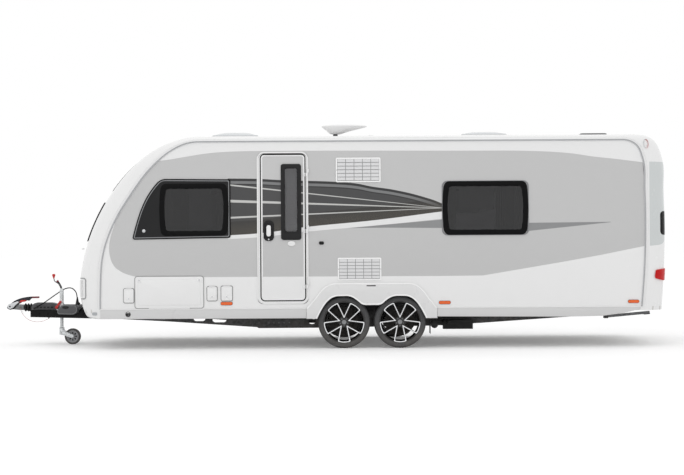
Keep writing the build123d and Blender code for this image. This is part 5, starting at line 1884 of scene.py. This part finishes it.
@dataclass
class RoofPieces:
    """The rooflights, the small dome and the saucer aerial."""

    crown: float = 2569
    # Columns: low x, high x, half width, top z
    lights: tuple[tuple[float, ...], ...] = ((-1462, -868, 260, 2642), (1652, 2234, 260, 2632))
    hatch: tuple[float, ...] = (3150, 3490, 160, 2606)
    dome: tuple[float, ...] = (529, -150, 46, 2600)
    aerial_y: float = -180
    # Columns: z, centre x, half length, half width
    saucer: tuple[tuple[float, ...], ...] = (
        (2608, 88, 40, 36), (2611, 90, 66, 60), (2628, 103, 104, 86), (2650, 130, 150, 120),
        (2672, 162, 214, 140), (2690, 188, 262, 152), (2698, 195, 279, 158),
        (2704, 197, 285, 160), (2710, 196, 279, 156), (2717, 192, 252, 140),
        (2722, 185, 205, 112), (2724, 178, 130, 70),
    )

    def build(self) -> None:
        """Builds every piece on the roof."""
        frames, domes, dark = Shape(), Shape(), Shape()
        for x0, x1, half, top in self.lights:
            frames.panel((x0, x1, -half, half), self.crown - 12, self.crown + 22, Along.Z,
                         corner=60, edge=7)
            domes.panel((x0 + 12, x1 - 12, -half + 12, half - 12), self.crown + 20,
                        self.crown + 34, Along.Z, corner=56, edge=6)
            domes.take(self.bubble(x0 + 30, x1 - 30, half - 30, self.crown + 32, top))
        x0, x1, half, top = self.hatch
        dark.panel((x0, x1, -half, half), self.crown - 12, top, Along.Z, corner=44, edge=14)
        frames.piece("rooflight_frames", WHITE_PLASTIC, slot="roof_white")
        domes.piece("rooflight_domes", DOME_WHITE, slot="rooflight_acrylic",
                    replaces=("rooflights",))
        dark.piece("rooflight_seals", SMOKED, slot="rooflight_acrylic")
        x, y, radius, top = self.dome
        height = top - self.crown
        Shape().turned(((-10, radius), (8, radius), (height * 0.6, radius * 0.86),
                        (height * 0.88, radius * 0.5), (height, 0), (-10, 0)),
                       (x, y, self.crown), Along.Z, steps=48).piece(
            "roof_vent_dome", WHITE_PLASTIC, slot="roof_white")
        self.aerial()

    def bubble(self, x0: float, x1: float, half: float, low: float,
               top: float) -> bmesh.types.BMesh:
        """The raised middle of a rooflight, highest at its centre."""
        columns, rows = 24, 20

        def place(i: int, j: int) -> Vector:
            a, b = 2 * i / columns - 1, 2 * j / rows - 1
            rise = (1 - abs(a) ** 4) * (1 - abs(b) ** 4)
            return Vector(((x0 + x1) / 2 + (x1 - x0) / 2 * a, half * b, low + (top - low) * rise))

        return Shape().patch(columns, rows, place).thicken(3).bm

    def aerial(self) -> None:
        """The saucer aerial on its mast."""
        around = 64

        def place(i: int, j: int) -> Vector:
            z, x, long_half, wide_half = self.saucer[i]
            angle = math.tau * j / around
            return Vector((x + long_half * math.cos(angle),
                           self.aerial_y + wide_half * math.sin(angle), z))

        shape = Shape().patch(len(self.saucer) - 1, around, place, wrap=True)
        shape.piece("aerial_saucer", WHITE_PLASTIC, slot="roof_white",
                    replaces=("tv_aerial",), sharp=60)
        Shape().turned(((-8, 60), (4, 60), (8, 52), (14, 30), (42, 26), (43, 20), (43, 0),
                        (-8, 0)), (86, self.aerial_y, self.crown), Along.Z, steps=48).piece(
            "aerial_mast", COVER_PLASTIC, slot="roof_white")


@dataclass
class RoadWheel:
    """One road wheel: tyre, rim with its V-shaped spokes, and brake drum."""

    name: str
    side: Side
    axle_x: float
    radius: float = 310
    middle: float = 1047.5
    face: float = 78
    star: float = 235
    apex: float = 58
    sweep: float = 21
    spokes: int = 5
    pitches: int = 72
    # Section columns: distance from the wheel's middle plane, radius
    flank: tuple[Flat, ...] = ((88, 239), (95, 243), (100, 250), (101.5, 262), (102.5, 275),
                               (101, 286), (97, 296), (91, 302), (84, 306))
    barrel: tuple[Flat, ...] = (
        (-89, 238.7), (-62, 238.7), (-48, 226), (8, 226), (24, 238.7), (89, 238.7), (94, 248),
        (98, 249), (100, 247), (99, 234), (95, 231), (60, 229), (22, 228), (6, 218),
        (-50, 218), (-64, 230), (-99, 232), (-99, 249), (-95, 249),
    )

    def build(self) -> None:
        """Builds the tyre and the rim."""
        self.body = f"wheel_{self.name}"
        self.hub = (self.axle_x, self.side.value * self.middle, self.radius)
        self.tyre()
        self.rim()

    def tread(self) -> list[Flat]:
        """The tread's section from one shoulder to the other, with four grooves."""
        points = [(80, 307.5), (72, 309)]
        for groove in (54, 18, -18, -54):
            points += [(groove + 5, 310), (groove + 3, 303), (groove - 3, 303),
                       (groove - 5, 310)]
        return points + [(-72, 309), (-80, 307.5)]

    def tyre(self) -> None:
        """The tyre, with cross cuts through its shoulder blocks."""
        outside = [*self.flank, *self.tread(), *[(-a, r) for a, r in reversed(self.flank)]]
        inside = [(-72, 239), (-84, 262), (-74, 292), (74, 292), (84, 262), (72, 239)]
        section = [*outside, *inside]
        columns = self.pitches * 5
        at = self.side.value

        def place(i: int, j: int) -> Vector:
            offset, radius = section[j % len(section)]
            shoulder = 56 < abs(offset) < 92 and radius > 300
            turn = i + (1.5 if abs(offset) < 70 else 0)
            if shoulder and int(turn) % 5 == 0:
                radius -= 5
            angle = math.tau * (i % columns) / columns
            return Vector((self.axle_x + radius * math.cos(angle), at * (self.middle + offset),
                           self.radius + radius * math.sin(angle)))

        Shape().patch(columns, len(section), place, wrap=True).piece(
            f"{self.body}_tyre", TYRE, self.body, "tyre_rubber", (f"tyre_{self.name}",),
            sharp=30)

    def polar(self, radius: float, angle: float) -> Flat:
        """A point of the wheel's face, by radius and degrees."""
        turn = math.radians(angle)
        return (self.axle_x + radius * math.cos(turn), self.radius + radius * math.sin(turn))

    def rim(self) -> None:
        """The barrel, the arms, the bright line, the hub and the drum."""
        at = self.side.value
        front = at * (self.middle + self.face)
        black = Shape()
        step = 360 / self.spokes
        for k in range(self.spokes):
            for lean in (-1, 1):
                centre = 18 + step * k
                arm = strut(self.polar(50, centre + lean * 4),
                            self.polar(237, centre + lean * 19), 12, 9)
                black.prism(arm, front - at * 30, front, edge=3)
        bmesh.ops.subdivide_edges(black.bm, cuts=6,
                                  edges=[e for e in black.bm.edges if e.calc_length() > 90])
        self.dish(black)
        black.turned(((-44, 0), (-44, 60), (-10, 66), (-4, 64), (0, 56), (-3, 40), (-3, 0)),
                     (self.axle_x, front, self.radius), flip=at, closed=False)
        black.turned(self.barrel, self.hub, flip=at)
        black.piece(f"{self.body}_rim", RIM_LACQUER, self.body, "alloy_rim",
                    (f"rim_{self.name}",))
        self.bright_line(front, at)
        nuts = Shape()
        for k in range(self.spokes):
            x, z = self.polar(44, 54 + step * k)
            nuts.rod((x, front - at * 6, z), (x, front + at * 1, z), 8.5, sides=6, edge=1)
        nuts.piece(f"{self.body}_nuts", ZINC, self.body, "alloy_rim")
        Shape().turned(((-4, 0), (-4, 28), (3, 28), (6, 25), (7.5, 20), (6.5, 18), (6.5, 0)),
                       (self.axle_x, front, self.radius), flip=at, closed=False).piece(
            f"{self.body}_cap", CAP_GREY, self.body, "alloy_rim")
        Shape().turned(((0, 22), (0, 176), (3, 179), (7, 176), (9, 112), (74, 112), (80, 100),
                        (119, 60), (119, 22)), (self.axle_x, at * 916, self.radius),
                       flip=at).piece(
            f"{self.body}_drum", CAST_IRON, self.body, "axle_black")

    def bright_line(self, front: float, at: int) -> None:
        """The polished line that runs down the V arms and along the rim."""
        points, radii = [], []
        for k in range(self.spokes):
            centre = 90 - 360 / self.spokes * k
            points.append(self.polar(self.apex, centre))
            radii.append(7)
            points.append(self.polar(self.star, centre - 19))
            radii.append(9)
            for step in range(1, 8):
                points.append(self.polar(self.star + 1, centre - 19 - 34 * step / 8))
                radii.append(0)
            points.append(self.polar(self.star, centre - 53))
            radii.append(9)
        outer = beside(points, 5.6, True)
        inner = beside(points, -5.6, True)
        line = Shape().prism(outer, front - at * 2, front + at * 3, corner=radii, edge=1,
                             holes=((inner, radii),), steps=3)
        bmesh.ops.subdivide_edges(line.bm, cuts=6,
                                  edges=[e for e in line.bm.edges if e.calc_length() > 30])
        self.dish(line)
        line.piece(f"{self.body}_line", CUT_ALLOY, self.body, "alloy_rim")

    def dish(self, shape: Shape) -> None:
        """Sweeps the spokes out to the rim's lip."""
        for vert in shape.bm.verts:
            reach = math.hypot(vert.co.x - self.axle_x, vert.co.z - self.radius)
            share = min(1.0, max(0.0, (reach - 60) / 170))
            vert.co.y += self.side.value * self.sweep * share ** 1.5


@dataclass
class Chassis:
    """The frame, axles, mover, steadies and floor."""

    rail_bolts: tuple[float, ...] = (-861, -739, -679, -617, -554, -491)

    def build(self) -> None:
        """Dresses the CAD nodes and adds their fasteners."""
        dress(FLOOR_BOARD, "floor_panel", "gas_locker_box")
        dress(ZINC_DARK, "chassis_frame", "axles")
        dress(BLACK_PLASTIC, "wheel_housings", "mover_units")
        dress(FRAME_BLACK, "a_frame")
        dress(ZINC, "steady_front_left", "steady_front_right", "steady_rear_left",
              "steady_rear_right")
        bolts = Shape()
        for x in self.rail_bolts:
            bolts.rod((x, 592, 280), (x, 602, 280), 11, sides=6, edge=1)
        for x in (-1450, 1300, 1700, 2300, 2900):
            for z in (350, 400):
                bolts.rod((x, 592, z), (x, 601, z), 9, sides=6, edge=1)
        bolts.both_sides().piece("rail_bolts", ZINC, slot="galvanised")


@dataclass
class Hitch:
    """The coupling, its levers, the drawbar's covers and beams. Sizes are in millimetres."""

    ball: Flat = (-4023, 475)
    nose: Flat = (-3753, 50)
    root: Flat = (-2690, 592)
    head_line: tuple[Flat, ...] = (
        (-4060, 446), (-4062, 478), (-4040, 507), (-4000, 518), (-3925, 541), (-3908, 526),
        (-3935, 500), (-3962, 478), (-3985, 452), (-4010, 442))
    neck_line: tuple[Flat, ...] = (
        (-3995, 440), (-3958, 486), (-3925, 500), (-3850, 498), (-3846, 428), (-3900, 430))
    trim_line: tuple[Flat, ...] = (
        (-4062, 466), (-4050, 446), (-4020, 433), (-3978, 442), (-3955, 470), (-3905, 520),
        (-3914, 527), (-3962, 487), (-3988, 456), (-4018, 446), (-4044, 456), (-4054, 470))
    lever_line: tuple[Flat, ...] = (
        (-4016, 512), (-3968, 548), (-3900, 577), (-3830, 592), (-3757, 598), (-3750, 580),
        (-3770, 566), (-3784, 546), (-3830, 552), (-3906, 540), (-3965, 531))
    cover_line: tuple[Flat, ...] = (
        (-3750, 432), (-3750, 478), (-3712, 519), (-3478, 519), (-3422, 500), (-3422, 432))

    def build(self) -> None:
        """Builds the hitch from the ball to the beams."""
        self.head()
        self.lever()
        self.bellows()
        self.cover()
        self.pod()
        self.beams()
        self.brake()

    def spread(self) -> float:
        """The angle of each beam from the centre line, in degrees."""
        run = Vector(self.root) - Vector(self.nose)
        return math.degrees(math.atan2(run.y, run.x))

    def head(self) -> None:
        """The silver head with its round caps, dark trim and grey shaft housing."""
        socket = Shape().rod((self.ball[0], 0, 425), (self.ball[0], 0, 470), 25.4, sides=64)
        head = Shape().prism(self.head_line, -42, 42, edge=12,
                             corner=[8, 14, 12, 8, 8, 6, 4, 4, 4, 6])
        head.piece("head_casting", SILVER_PAINT, slot="coupling_silver",
                   replaces=("coupling_head",), cutters=(socket.copy(),))
        trim = Shape().prism(self.trim_line, -45, 45, edge=2, corner=3)
        trim.piece("head_trim", BLACK_PLASTIC, slot="lever_dark", cutters=(socket,))
        caps, nuts = Shape(), Shape()
        x, z = self.ball
        for side in (-1, 1):
            caps.turned(((0, 0), (0, 30), (6, 30), (9, 27), (9.5, 12), (9.5, 0)),
                        (x, side * 40, z), flip=side, closed=False, steps=48)
            nuts.turned(((0, 0), (0, 11), (5, 10), (6, 6), (6, 0)), (x, side * 48, z),
                        flip=side, closed=False, steps=24)
        caps.piece("head_caps", SILVER_PAINT, slot="coupling_silver")
        nuts.piece("head_cap_bolts", BLACK_PLASTIC, slot="lever_dark")
        neck = Shape().prism(self.neck_line, -27, 27, edge=10, corner=[4, 8, 8, 6, 4, 8])
        neck.block((-3904, -50, 448), (-3890, -26, 464), 3)
        for spot in (-3925, -3880):
            neck.rod((spot, -32, 462), (spot, 32, 462), 8, sides=6, edge=1.5)
        neck.piece("shaft_housing", LEVER_GREY, slot="coupling_silver")

    def lever(self) -> None:
        """The long coupling lever, its red inner parts and its grip."""
        hand = Shape().prism(self.lever_line, -23, 23, edge=7,
                             corner=[6, 20, 25, 25, 4, 4, 6, 6, 12, 16, 12])
        groove = Shape().block((-3975, -15, 500), (-3790, 15, 556), 3)
        hand.piece("lever_body", LEVER_DARK, slot="lever_dark", replaces=("hitch_levers",),
                   cutters=(groove,))
        latch = Shape().prism(((-3900, 526), (-3896, 552), (-3832, 556), (-3822, 544),
                               (-3846, 534)), -25.5, 25.5, corner=5, edge=3)
        latch.piece("lever_latch", RED_PLASTIC, slot="lever_dark")
        Shape().prism(((-3917, 517), (-3908, 548), (-3894, 550), (-3884, 528), (-3896, 512)),
                      -21, 21, corner=4, edge=3).piece("lever_heel", GRIP_RED,
                                                       slot="lever_dark")
        grip = Shape().bar(((-3764, 0, 588), (-3740, 0, 587), (-3700, 0, 588), (-3661, 0, 590)),
                           10.5)
        for k in range(6):
            x = -3745 + 13 * k
            grip.turned(((-3, 10), (-2, 11.8), (2, 11.8), (3, 10)), (x, 0, 588), Along.X,
                        closed=False, steps=24)
        grip.piece("lever_grip", GRIP_RED, slot="lever_dark")

    def bellows(self) -> None:
        """The rubber bellows between the head and the cover."""
        folds, start, pitch = 3, -3850.0, 35.0
        section = [(0.0, 30.0)]
        for k in range(folds * 8 + 1):
            turn = k / 8
            swell = math.sin(math.pi * (turn % 1.0)) if turn % 1.0 else 0.0
            section.append((turn * pitch, 30 + 22 * swell))
        section.append((folds * pitch, 20.0))
        shape = Shape().turned([*section, (0.0, 20.0)], (start, 0, 462), Along.X, steps=72)
        shape.turned(((0, 24), (0, 34), (7, 34), (7, 24)), (start - 4, 0, 462), Along.X, steps=64)
        shape.rod((start, 0, 452), (-3640, 0, 402), 22)
        shape.piece("shaft_bellows", BLACK_PLASTIC, slot="bellows_rubber",
                    replaces=("drawbar_bellows",))

    def cover(self) -> None:
        """The cover over the overrun gear, its deck and the plug's holder."""
        inside = Shape().prism(((-3740, 420), (-3740, 470), (-3706, 509), (-3485, 509),
                                (-3432, 490), (-3432, 420)), -70, 70)
        hood = Shape().prism(self.cover_line, -80, 80, edge=9, corner=[0, 14, 18, 16, 10, 0])
        hood.piece("cover_hood", COVER_PLASTIC, slot="black_plastic",
                   replaces=("hitch_cover",), cutters=(inside,))
        ribs, dark = Shape(), Shape()
        for side in (-1, 1):
            ribs.prism(((-3742, 436), (-3742, 445), (-3426, 445), (-3426, 436)),
                       side * 79, side * 84, corner=3, edge=1.5)
            ribs.prism(((-3716, 494), (-3700, 508), (-3484, 508), (-3470, 496), (-3484, 486),
                        (-3704, 486)), side * 79, side * 84, corner=5, edge=2)
            for k in range(5):
                x = -3690 + 46 * k
                dark.prism(((x, 456), (x + 30, 456), (x + 36, 474), (x + 6, 474)),
                           side * 79, side * 81.5, corner=4, edge=1)
        for k in range(6):
            y = -50 + 20 * k
            ribs.block((-3690, y - 3, 518), (-3500, y + 3, 521.5), 1.5)
        ribs.piece("cover_ribs", COVER_PLASTIC, slot="black_plastic")
        dark.piece("cover_louvres", BLACK_PLASTIC, slot="black_plastic")
        x, y = PLUG_AT
        bore = Shape().rod((x, y, 425), (x, y, 505), 22.6, sides=48)
        deck = Shape().panel((-3424, -3125, -70, 150), 434, 493, Along.Z, corner=24, edge=7)
        deck.panel((x - 37, x + 33, y - 30, -60), 440, 489, Along.Z, corner=12, edge=4)
        deck.turned(((486, 23.5), (494, 23.5), (494, 29), (486, 30)), (x, y, 0), Along.Z,
                    steps=48)
        for k in range(7):
            spot = -3396 + 30 * k
            deck.block((spot, 20, 492), (spot + 8, 136, 496), 1.5)
        deck.rod((-3713, -98, 452), (-3738, -78, 440), 11, edge=2)
        deck.piece("cover_deck", COVER_PLASTIC, slot="black_plastic", cutters=(bore,))

    def pod(self) -> None:
        """The rounded side pod on the near beam, with a pale rim and a dark pad."""
        angle = -self.spread()
        at = (self.nose[0], -self.nose[1], 0)
        outline = ((438, 384), (686, 384), (731, 420), (731, 476), (700, 501), (492, 501),
                   (440, 450), (426, 414))
        radii = [20, 40, 18, 18, 16, 22, 14, 14]
        pod = Shape().prism(outline, -36, -1, corner=radii, edge=9)
        pod.prism(((500, 431), (731, 431), (731, 476), (700, 501), (500, 501)), -30, 40,
                  corner=[0, 4, 16, 16, 14], edge=7)
        pod.swung(angle, at).piece("beam_pod", COVER_PLASTIC, slot="black_plastic")
        rim = Shape().prism(beside(outline, 4, True), -38.5, -33, corner=radii, edge=1.5,
                            holes=((beside(outline, 11, True), [r * 0.9 for r in radii]),))
        rim.swung(angle, at).piece("pod_rim", LEVER_GREY, slot="black_plastic")
        pad = Shape().prism(((505, 460), (560, 452), (600, 462), (606, 482), (560, 490),
                             (510, 484)), -39.5, -34, corner=9, edge=2)
        pad.swung(angle, at).piece("pod_pad", BLACK_PLASTIC, slot="black_plastic")

    def beams(self) -> None:
        """The gussets and bolts of the two beams."""
        angle, at = self.spread(), (*self.nose, 0)
        gusset = Shape().prism(((738, 345), (1010, 345), (1010, 430), (960, 478), (790, 488),
                                (752, 458), (738, 430)), -11, -5.5, corner=[2, 2, 6, 8, 10, 8, 6],
                               edge=1.5)
        bolts = Shape()
        for x in (790, 860, 930):
            gusset.rod((x, -5, 430), (x, -5, 474), 4, sides=12)
            bolts.rod((x, -5, 385), (x, 8, 385), 10, sides=6, edge=1)
        for x in (120, 250, 360):
            bolts.rod((x, -4, 385), (x, 6, 385), 9, sides=6, edge=1)
        gusset.swung(angle, at).both_sides().piece(
            "beam_gussets", FRAME_BLACK, slot="frame_black")
        bolts.swung(angle, at).both_sides().piece(
            "beam_bolts", FRAME_BLACK, slot="frame_black")

    def brake(self) -> None:
        """The parking brake's lever, its dark red grip and its boot."""
        Shape().bar(((-3371, 0, 496), (-3372, 0, 560), (-3376, 0, 640), (-3386, 0, 712)),
                    9).piece("brake_lever", LEVER_DARK, slot="lever_dark")
        Shape().turned(((492, 26), (500, 25), (506, 18), (512, 20), (518, 14), (524, 15),
                        (530, 10), (530, 0), (489, 0), (489, 26)), (-3371, 0, 0), Along.Z,
                       closed=True, steps=40).piece("brake_boot", BLACK_PLASTIC,
                                                    slot="lever_dark")
        Shape().bar(((-3384, 0, 706), (-3396, 0, 735), (-3414, 0, 765), (-3432, 0, 793)),
                    13).piece("brake_grip", BLACK_PLASTIC, slot="lever_dark")
        Shape().bar(((-3424, 0, 778), (-3430, 0, 788), (-3436, 0, 798)), 14.5).piece(
            "brake_button", GRIP_RED, slot="lever_dark")


@dataclass
class JockeyWheel:
    """The jockey wheel with its tubes, clamp, crank, fork and roller, in millimetres."""

    x: float = -3360
    y: float = -110
    trail: float = 137
    radius: float = 100
    # Where the centre line of the near beam passes the tube
    beam_y: float = -250

    def build(self) -> None:
        """Builds what stays still, then what slides, swivels and rolls."""
        self.tube()
        self.clamp()
        self.crank()
        self.leg()
        self.fork()
        self.roller()

    def tube(self) -> None:
        """The outer tube with its collars and rim."""
        section = ((340, 21.5), (340, 26), (352, 26), (354, 25), (662, 25), (664, 27), (676, 27),
                   (678, 24), (682, 22), (698, 21), (700, 19), (700, 0), (672, 0), (670, 21.5))
        Shape().turned(section, (self.x, self.y, 0), Along.Z, steps=64).piece(
            "jockey_tube", TUBE_ZINC, slot="galvanised", replaces=("jockey_clamp",))

    def clamp(self) -> None:
        """The clamp that carries the tube on the near beam, and its red handle."""
        bore = Shape().rod((self.x, self.y, 330), (self.x, self.y, 480), 25.3, sides=64)
        body = Shape().block((self.x - 31, self.beam_y + 8, 354),
                             (self.x + 31, self.y + 33, 418), 6)
        body.turned(((352, 25), (352, 38), (356, 41), (416, 41), (420, 38), (420, 25)),
                    (self.x, self.y, 0), Along.Z, steps=64)
        beam = Shape().block((self.x - 60, self.beam_y - 80, 340),
                             (self.x + 60, self.beam_y + 5, 430))
        body.piece("clamp_body", LEVER_DARK, slot="galvanised", cutters=(bore, beam))
        y = self.y - 48
        stud = Shape().rod((self.x - 4, self.y - 30, 405), (self.x - 4, y - 12, 405), 8, edge=1)
        stud.bar(((self.x - 4, y, 400), (self.x - 30, y, 424), (self.x - 62, y, 446),
                  (self.x - 58, y, 466)), 7)
        stud.piece("clamp_stud", BRIGHT_STEEL, slot="galvanised")
        handle = Shape()
        lower, upper = (self.x - 66, 452), (self.x - 6, 540)
        run = (Vector(upper) - Vector(lower)).normalized()
        for start, end, half in ((0, 40, 17), (44, 112, 14)):
            grip = strut(Vector(lower) + run * start, Vector(lower) + run * end, half, half)
            handle.prism(grip, y - 12, y + 12, corner=7, edge=4)
        handle.piece("clamp_handle", RED_PLASTIC, slot="lever_dark")

    def crank(self) -> None:
        """The crank above the tube and its red knob."""
        x, y = self.x, self.y
        Shape().bar(((x, y, 670), (x, y, 715), (x - 6, y, 738), (x - 50, y, 768), (x - 86, y, 790),
                     (x - 94, y, 808), (x - 97, y, 838)), 6).piece(
            "crank_rod", ZINC, slot="galvanised")
        Shape().turned(((862, 0), (862, 9), (872, 10), (884, 14), (896, 20), (906, 20.5),
                        (914, 17), (918, 8), (918, 0)), (x - 98, y, -34), Along.Z,
                       closed=False, steps=40).piece("crank_knob", RED_PLASTIC,
                                                     slot="lever_dark")

    def leg(self) -> None:
        """The sliding inner tube."""
        section = ((212, 0), (212, 19), (214, 21), (556, 21), (560, 19), (560, 0))
        Shape().turned(section, (self.x, self.y, 0), Along.Z, closed=False, steps=56).piece(
            "inner_leg", TUBE_ZINC, "jockey_stem", "galvanised", ("jockey_leg",))

    def fork(self) -> None:
        """The fork with its swivel cup, pressed cheeks and axle."""
        x, wheel = self.x, self.x + self.trail
        shape = Shape().turned(((192, 0), (192, 27), (196, 30), (211, 30), (214, 27), (214, 0)),
                               (x, self.y, 0), Along.Z, closed=False, steps=48)
        line = ((x - 25, 213), (x + 25, 213), (x + 27, 178), (wheel - 20, 132), (wheel + 17, 118),
                (wheel + 17, 88), (wheel - 18, 84), (x + 40, 112), (x + 10, 120), (x - 25, 122))
        for edge in (-1, 1):
            y = self.y + edge * 36
            shape.prism(line, y, y + edge * 5, edge=1.5,
                        corner=[6, 6, 16, 14, 12, 12, 12, 14, 12, 12])
            shape.rod((wheel, y + edge * 4, 100), (wheel, y + edge * 11, 100), 13, sides=6,
                      edge=1.5)
        shape.block((x - 25, self.y - 41, 206), (x + 26, self.y + 41, 214), 2)
        shape.rod((wheel, self.y - 44, 100), (wheel, self.y + 44, 100), 7.9)
        shape.piece("fork_pressing", TUBE_ZINC, "jockey_castor", "galvanised",
                    ("jockey_fork",))

    def roller(self) -> None:
        """The wheel: a dark tyre on a grey disc with oval holes."""
        hub = (self.x + self.trail, self.y, self.radius)
        tyre = ((-22, 73), (-27, 78), (-29, 88), (-25, 95), (-19, 99), (-14, 100), (14, 100),
                (19, 99), (25, 95), (29, 88), (27, 78), (22, 73))
        Shape().turned(tyre, hub, steps=96).piece(
            "roller_tyre", TYRE, "jockey_roller", "tyre_rubber", ("jockey_wheel",))
        disc = Shape().turned(((-28, 8.2), (-28, 20), (-25, 24), (-9, 27), (-8, 58), (-20, 64),
                               (-24, 70), (-24, 75), (24, 75), (24, 70), (20, 64), (8, 58),
                               (9, 27), (25, 24), (28, 20), (28, 8.2)), hub, steps=96)
        holes = Shape().prism(oval((hub[0] + 43, hub[2]), (13, 9), 20), self.y - 40, self.y + 40)
        holes.around(8, hub)
        Shape().turned(((-1.5, 9), (-1.5, 62), (1.5, 62), (1.5, 9)), hub, steps=64).piece(
            "roller_web", BLACK_PLASTIC, "jockey_roller", "alloy_rim")
        disc.piece("roller_disc", JOCKEY_GREY, "jockey_roller", "alloy_rim", cutters=(holes,))


@dataclass
class GasLid:
    """The front locker lid."""

    form: BodyForm
    hinge: Flat = (-3036, 1197)

    def build(self) -> None:
        """The lid, cut from the front's own surface, with its two locks and its hinge knuckles."""
        form = self.form
        ends = sorted(form.row_at(z, 0) for z in (LID_HEIGHTS[0] - 80, LID_HEIGHTS[1] + 80))
        box = (-LID_HALF, LID_HALF, *LID_HEIGHTS)
        outline = Shape().panel(box, -3300, -2750, Along.X, 40)
        slab(form, *ends, 0, 30).piece(
            "lid_moulding", GELCOAT, "gas_lid", "body_white", ("gas_locker_lid",),
            cutters=(outline,), keep=True)
        locks = Shape()
        for y in (-430, 430):
            spot = form.point(form.row_at(742, y), y)
            locks.rod((spot.x + 4, y, 742), (spot.x - 5, y, 742), 17, edge=2)
        locks.piece("lid_locks", BRIGHT_STEEL, "gas_lid", "body_white")
        knuckles = Shape()
        x, z = self.hinge
        for y in (-420, 420):
            knuckles.rod((x, y - 60, z), (x, y + 60, z), 8, edge=2)
        knuckles.piece("lid_knuckles", WHITE_PLASTIC, "gas_lid", "body_white")


def main() -> None:
    """Builds the caravan, piece by piece."""
    logging.basicConfig(level=logging.INFO, format="%(message)s")
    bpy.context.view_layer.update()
    form = BodyForm()
    makers = [
        Studio(), HitchCables(), BodyShell(form), CornerRails(form), SideDress(form),
        SideWindows(form), Door(), Hatches(), FridgeVents(), RoofPieces(), Chassis(), Hitch(),
        JockeyWheel(), GasLid(form),
    ]
    for hand, side in (("left", Side.DOOR), ("right", Side.FAR)):
        makers += [RoadWheel(f"{hand}_{end}", side, x) for end, x in AXLES.items()]
    for maker in makers:
        maker.build()
        LOG.info("built %s", type(maker).__name__)


if __name__ == "__main__":
    main()
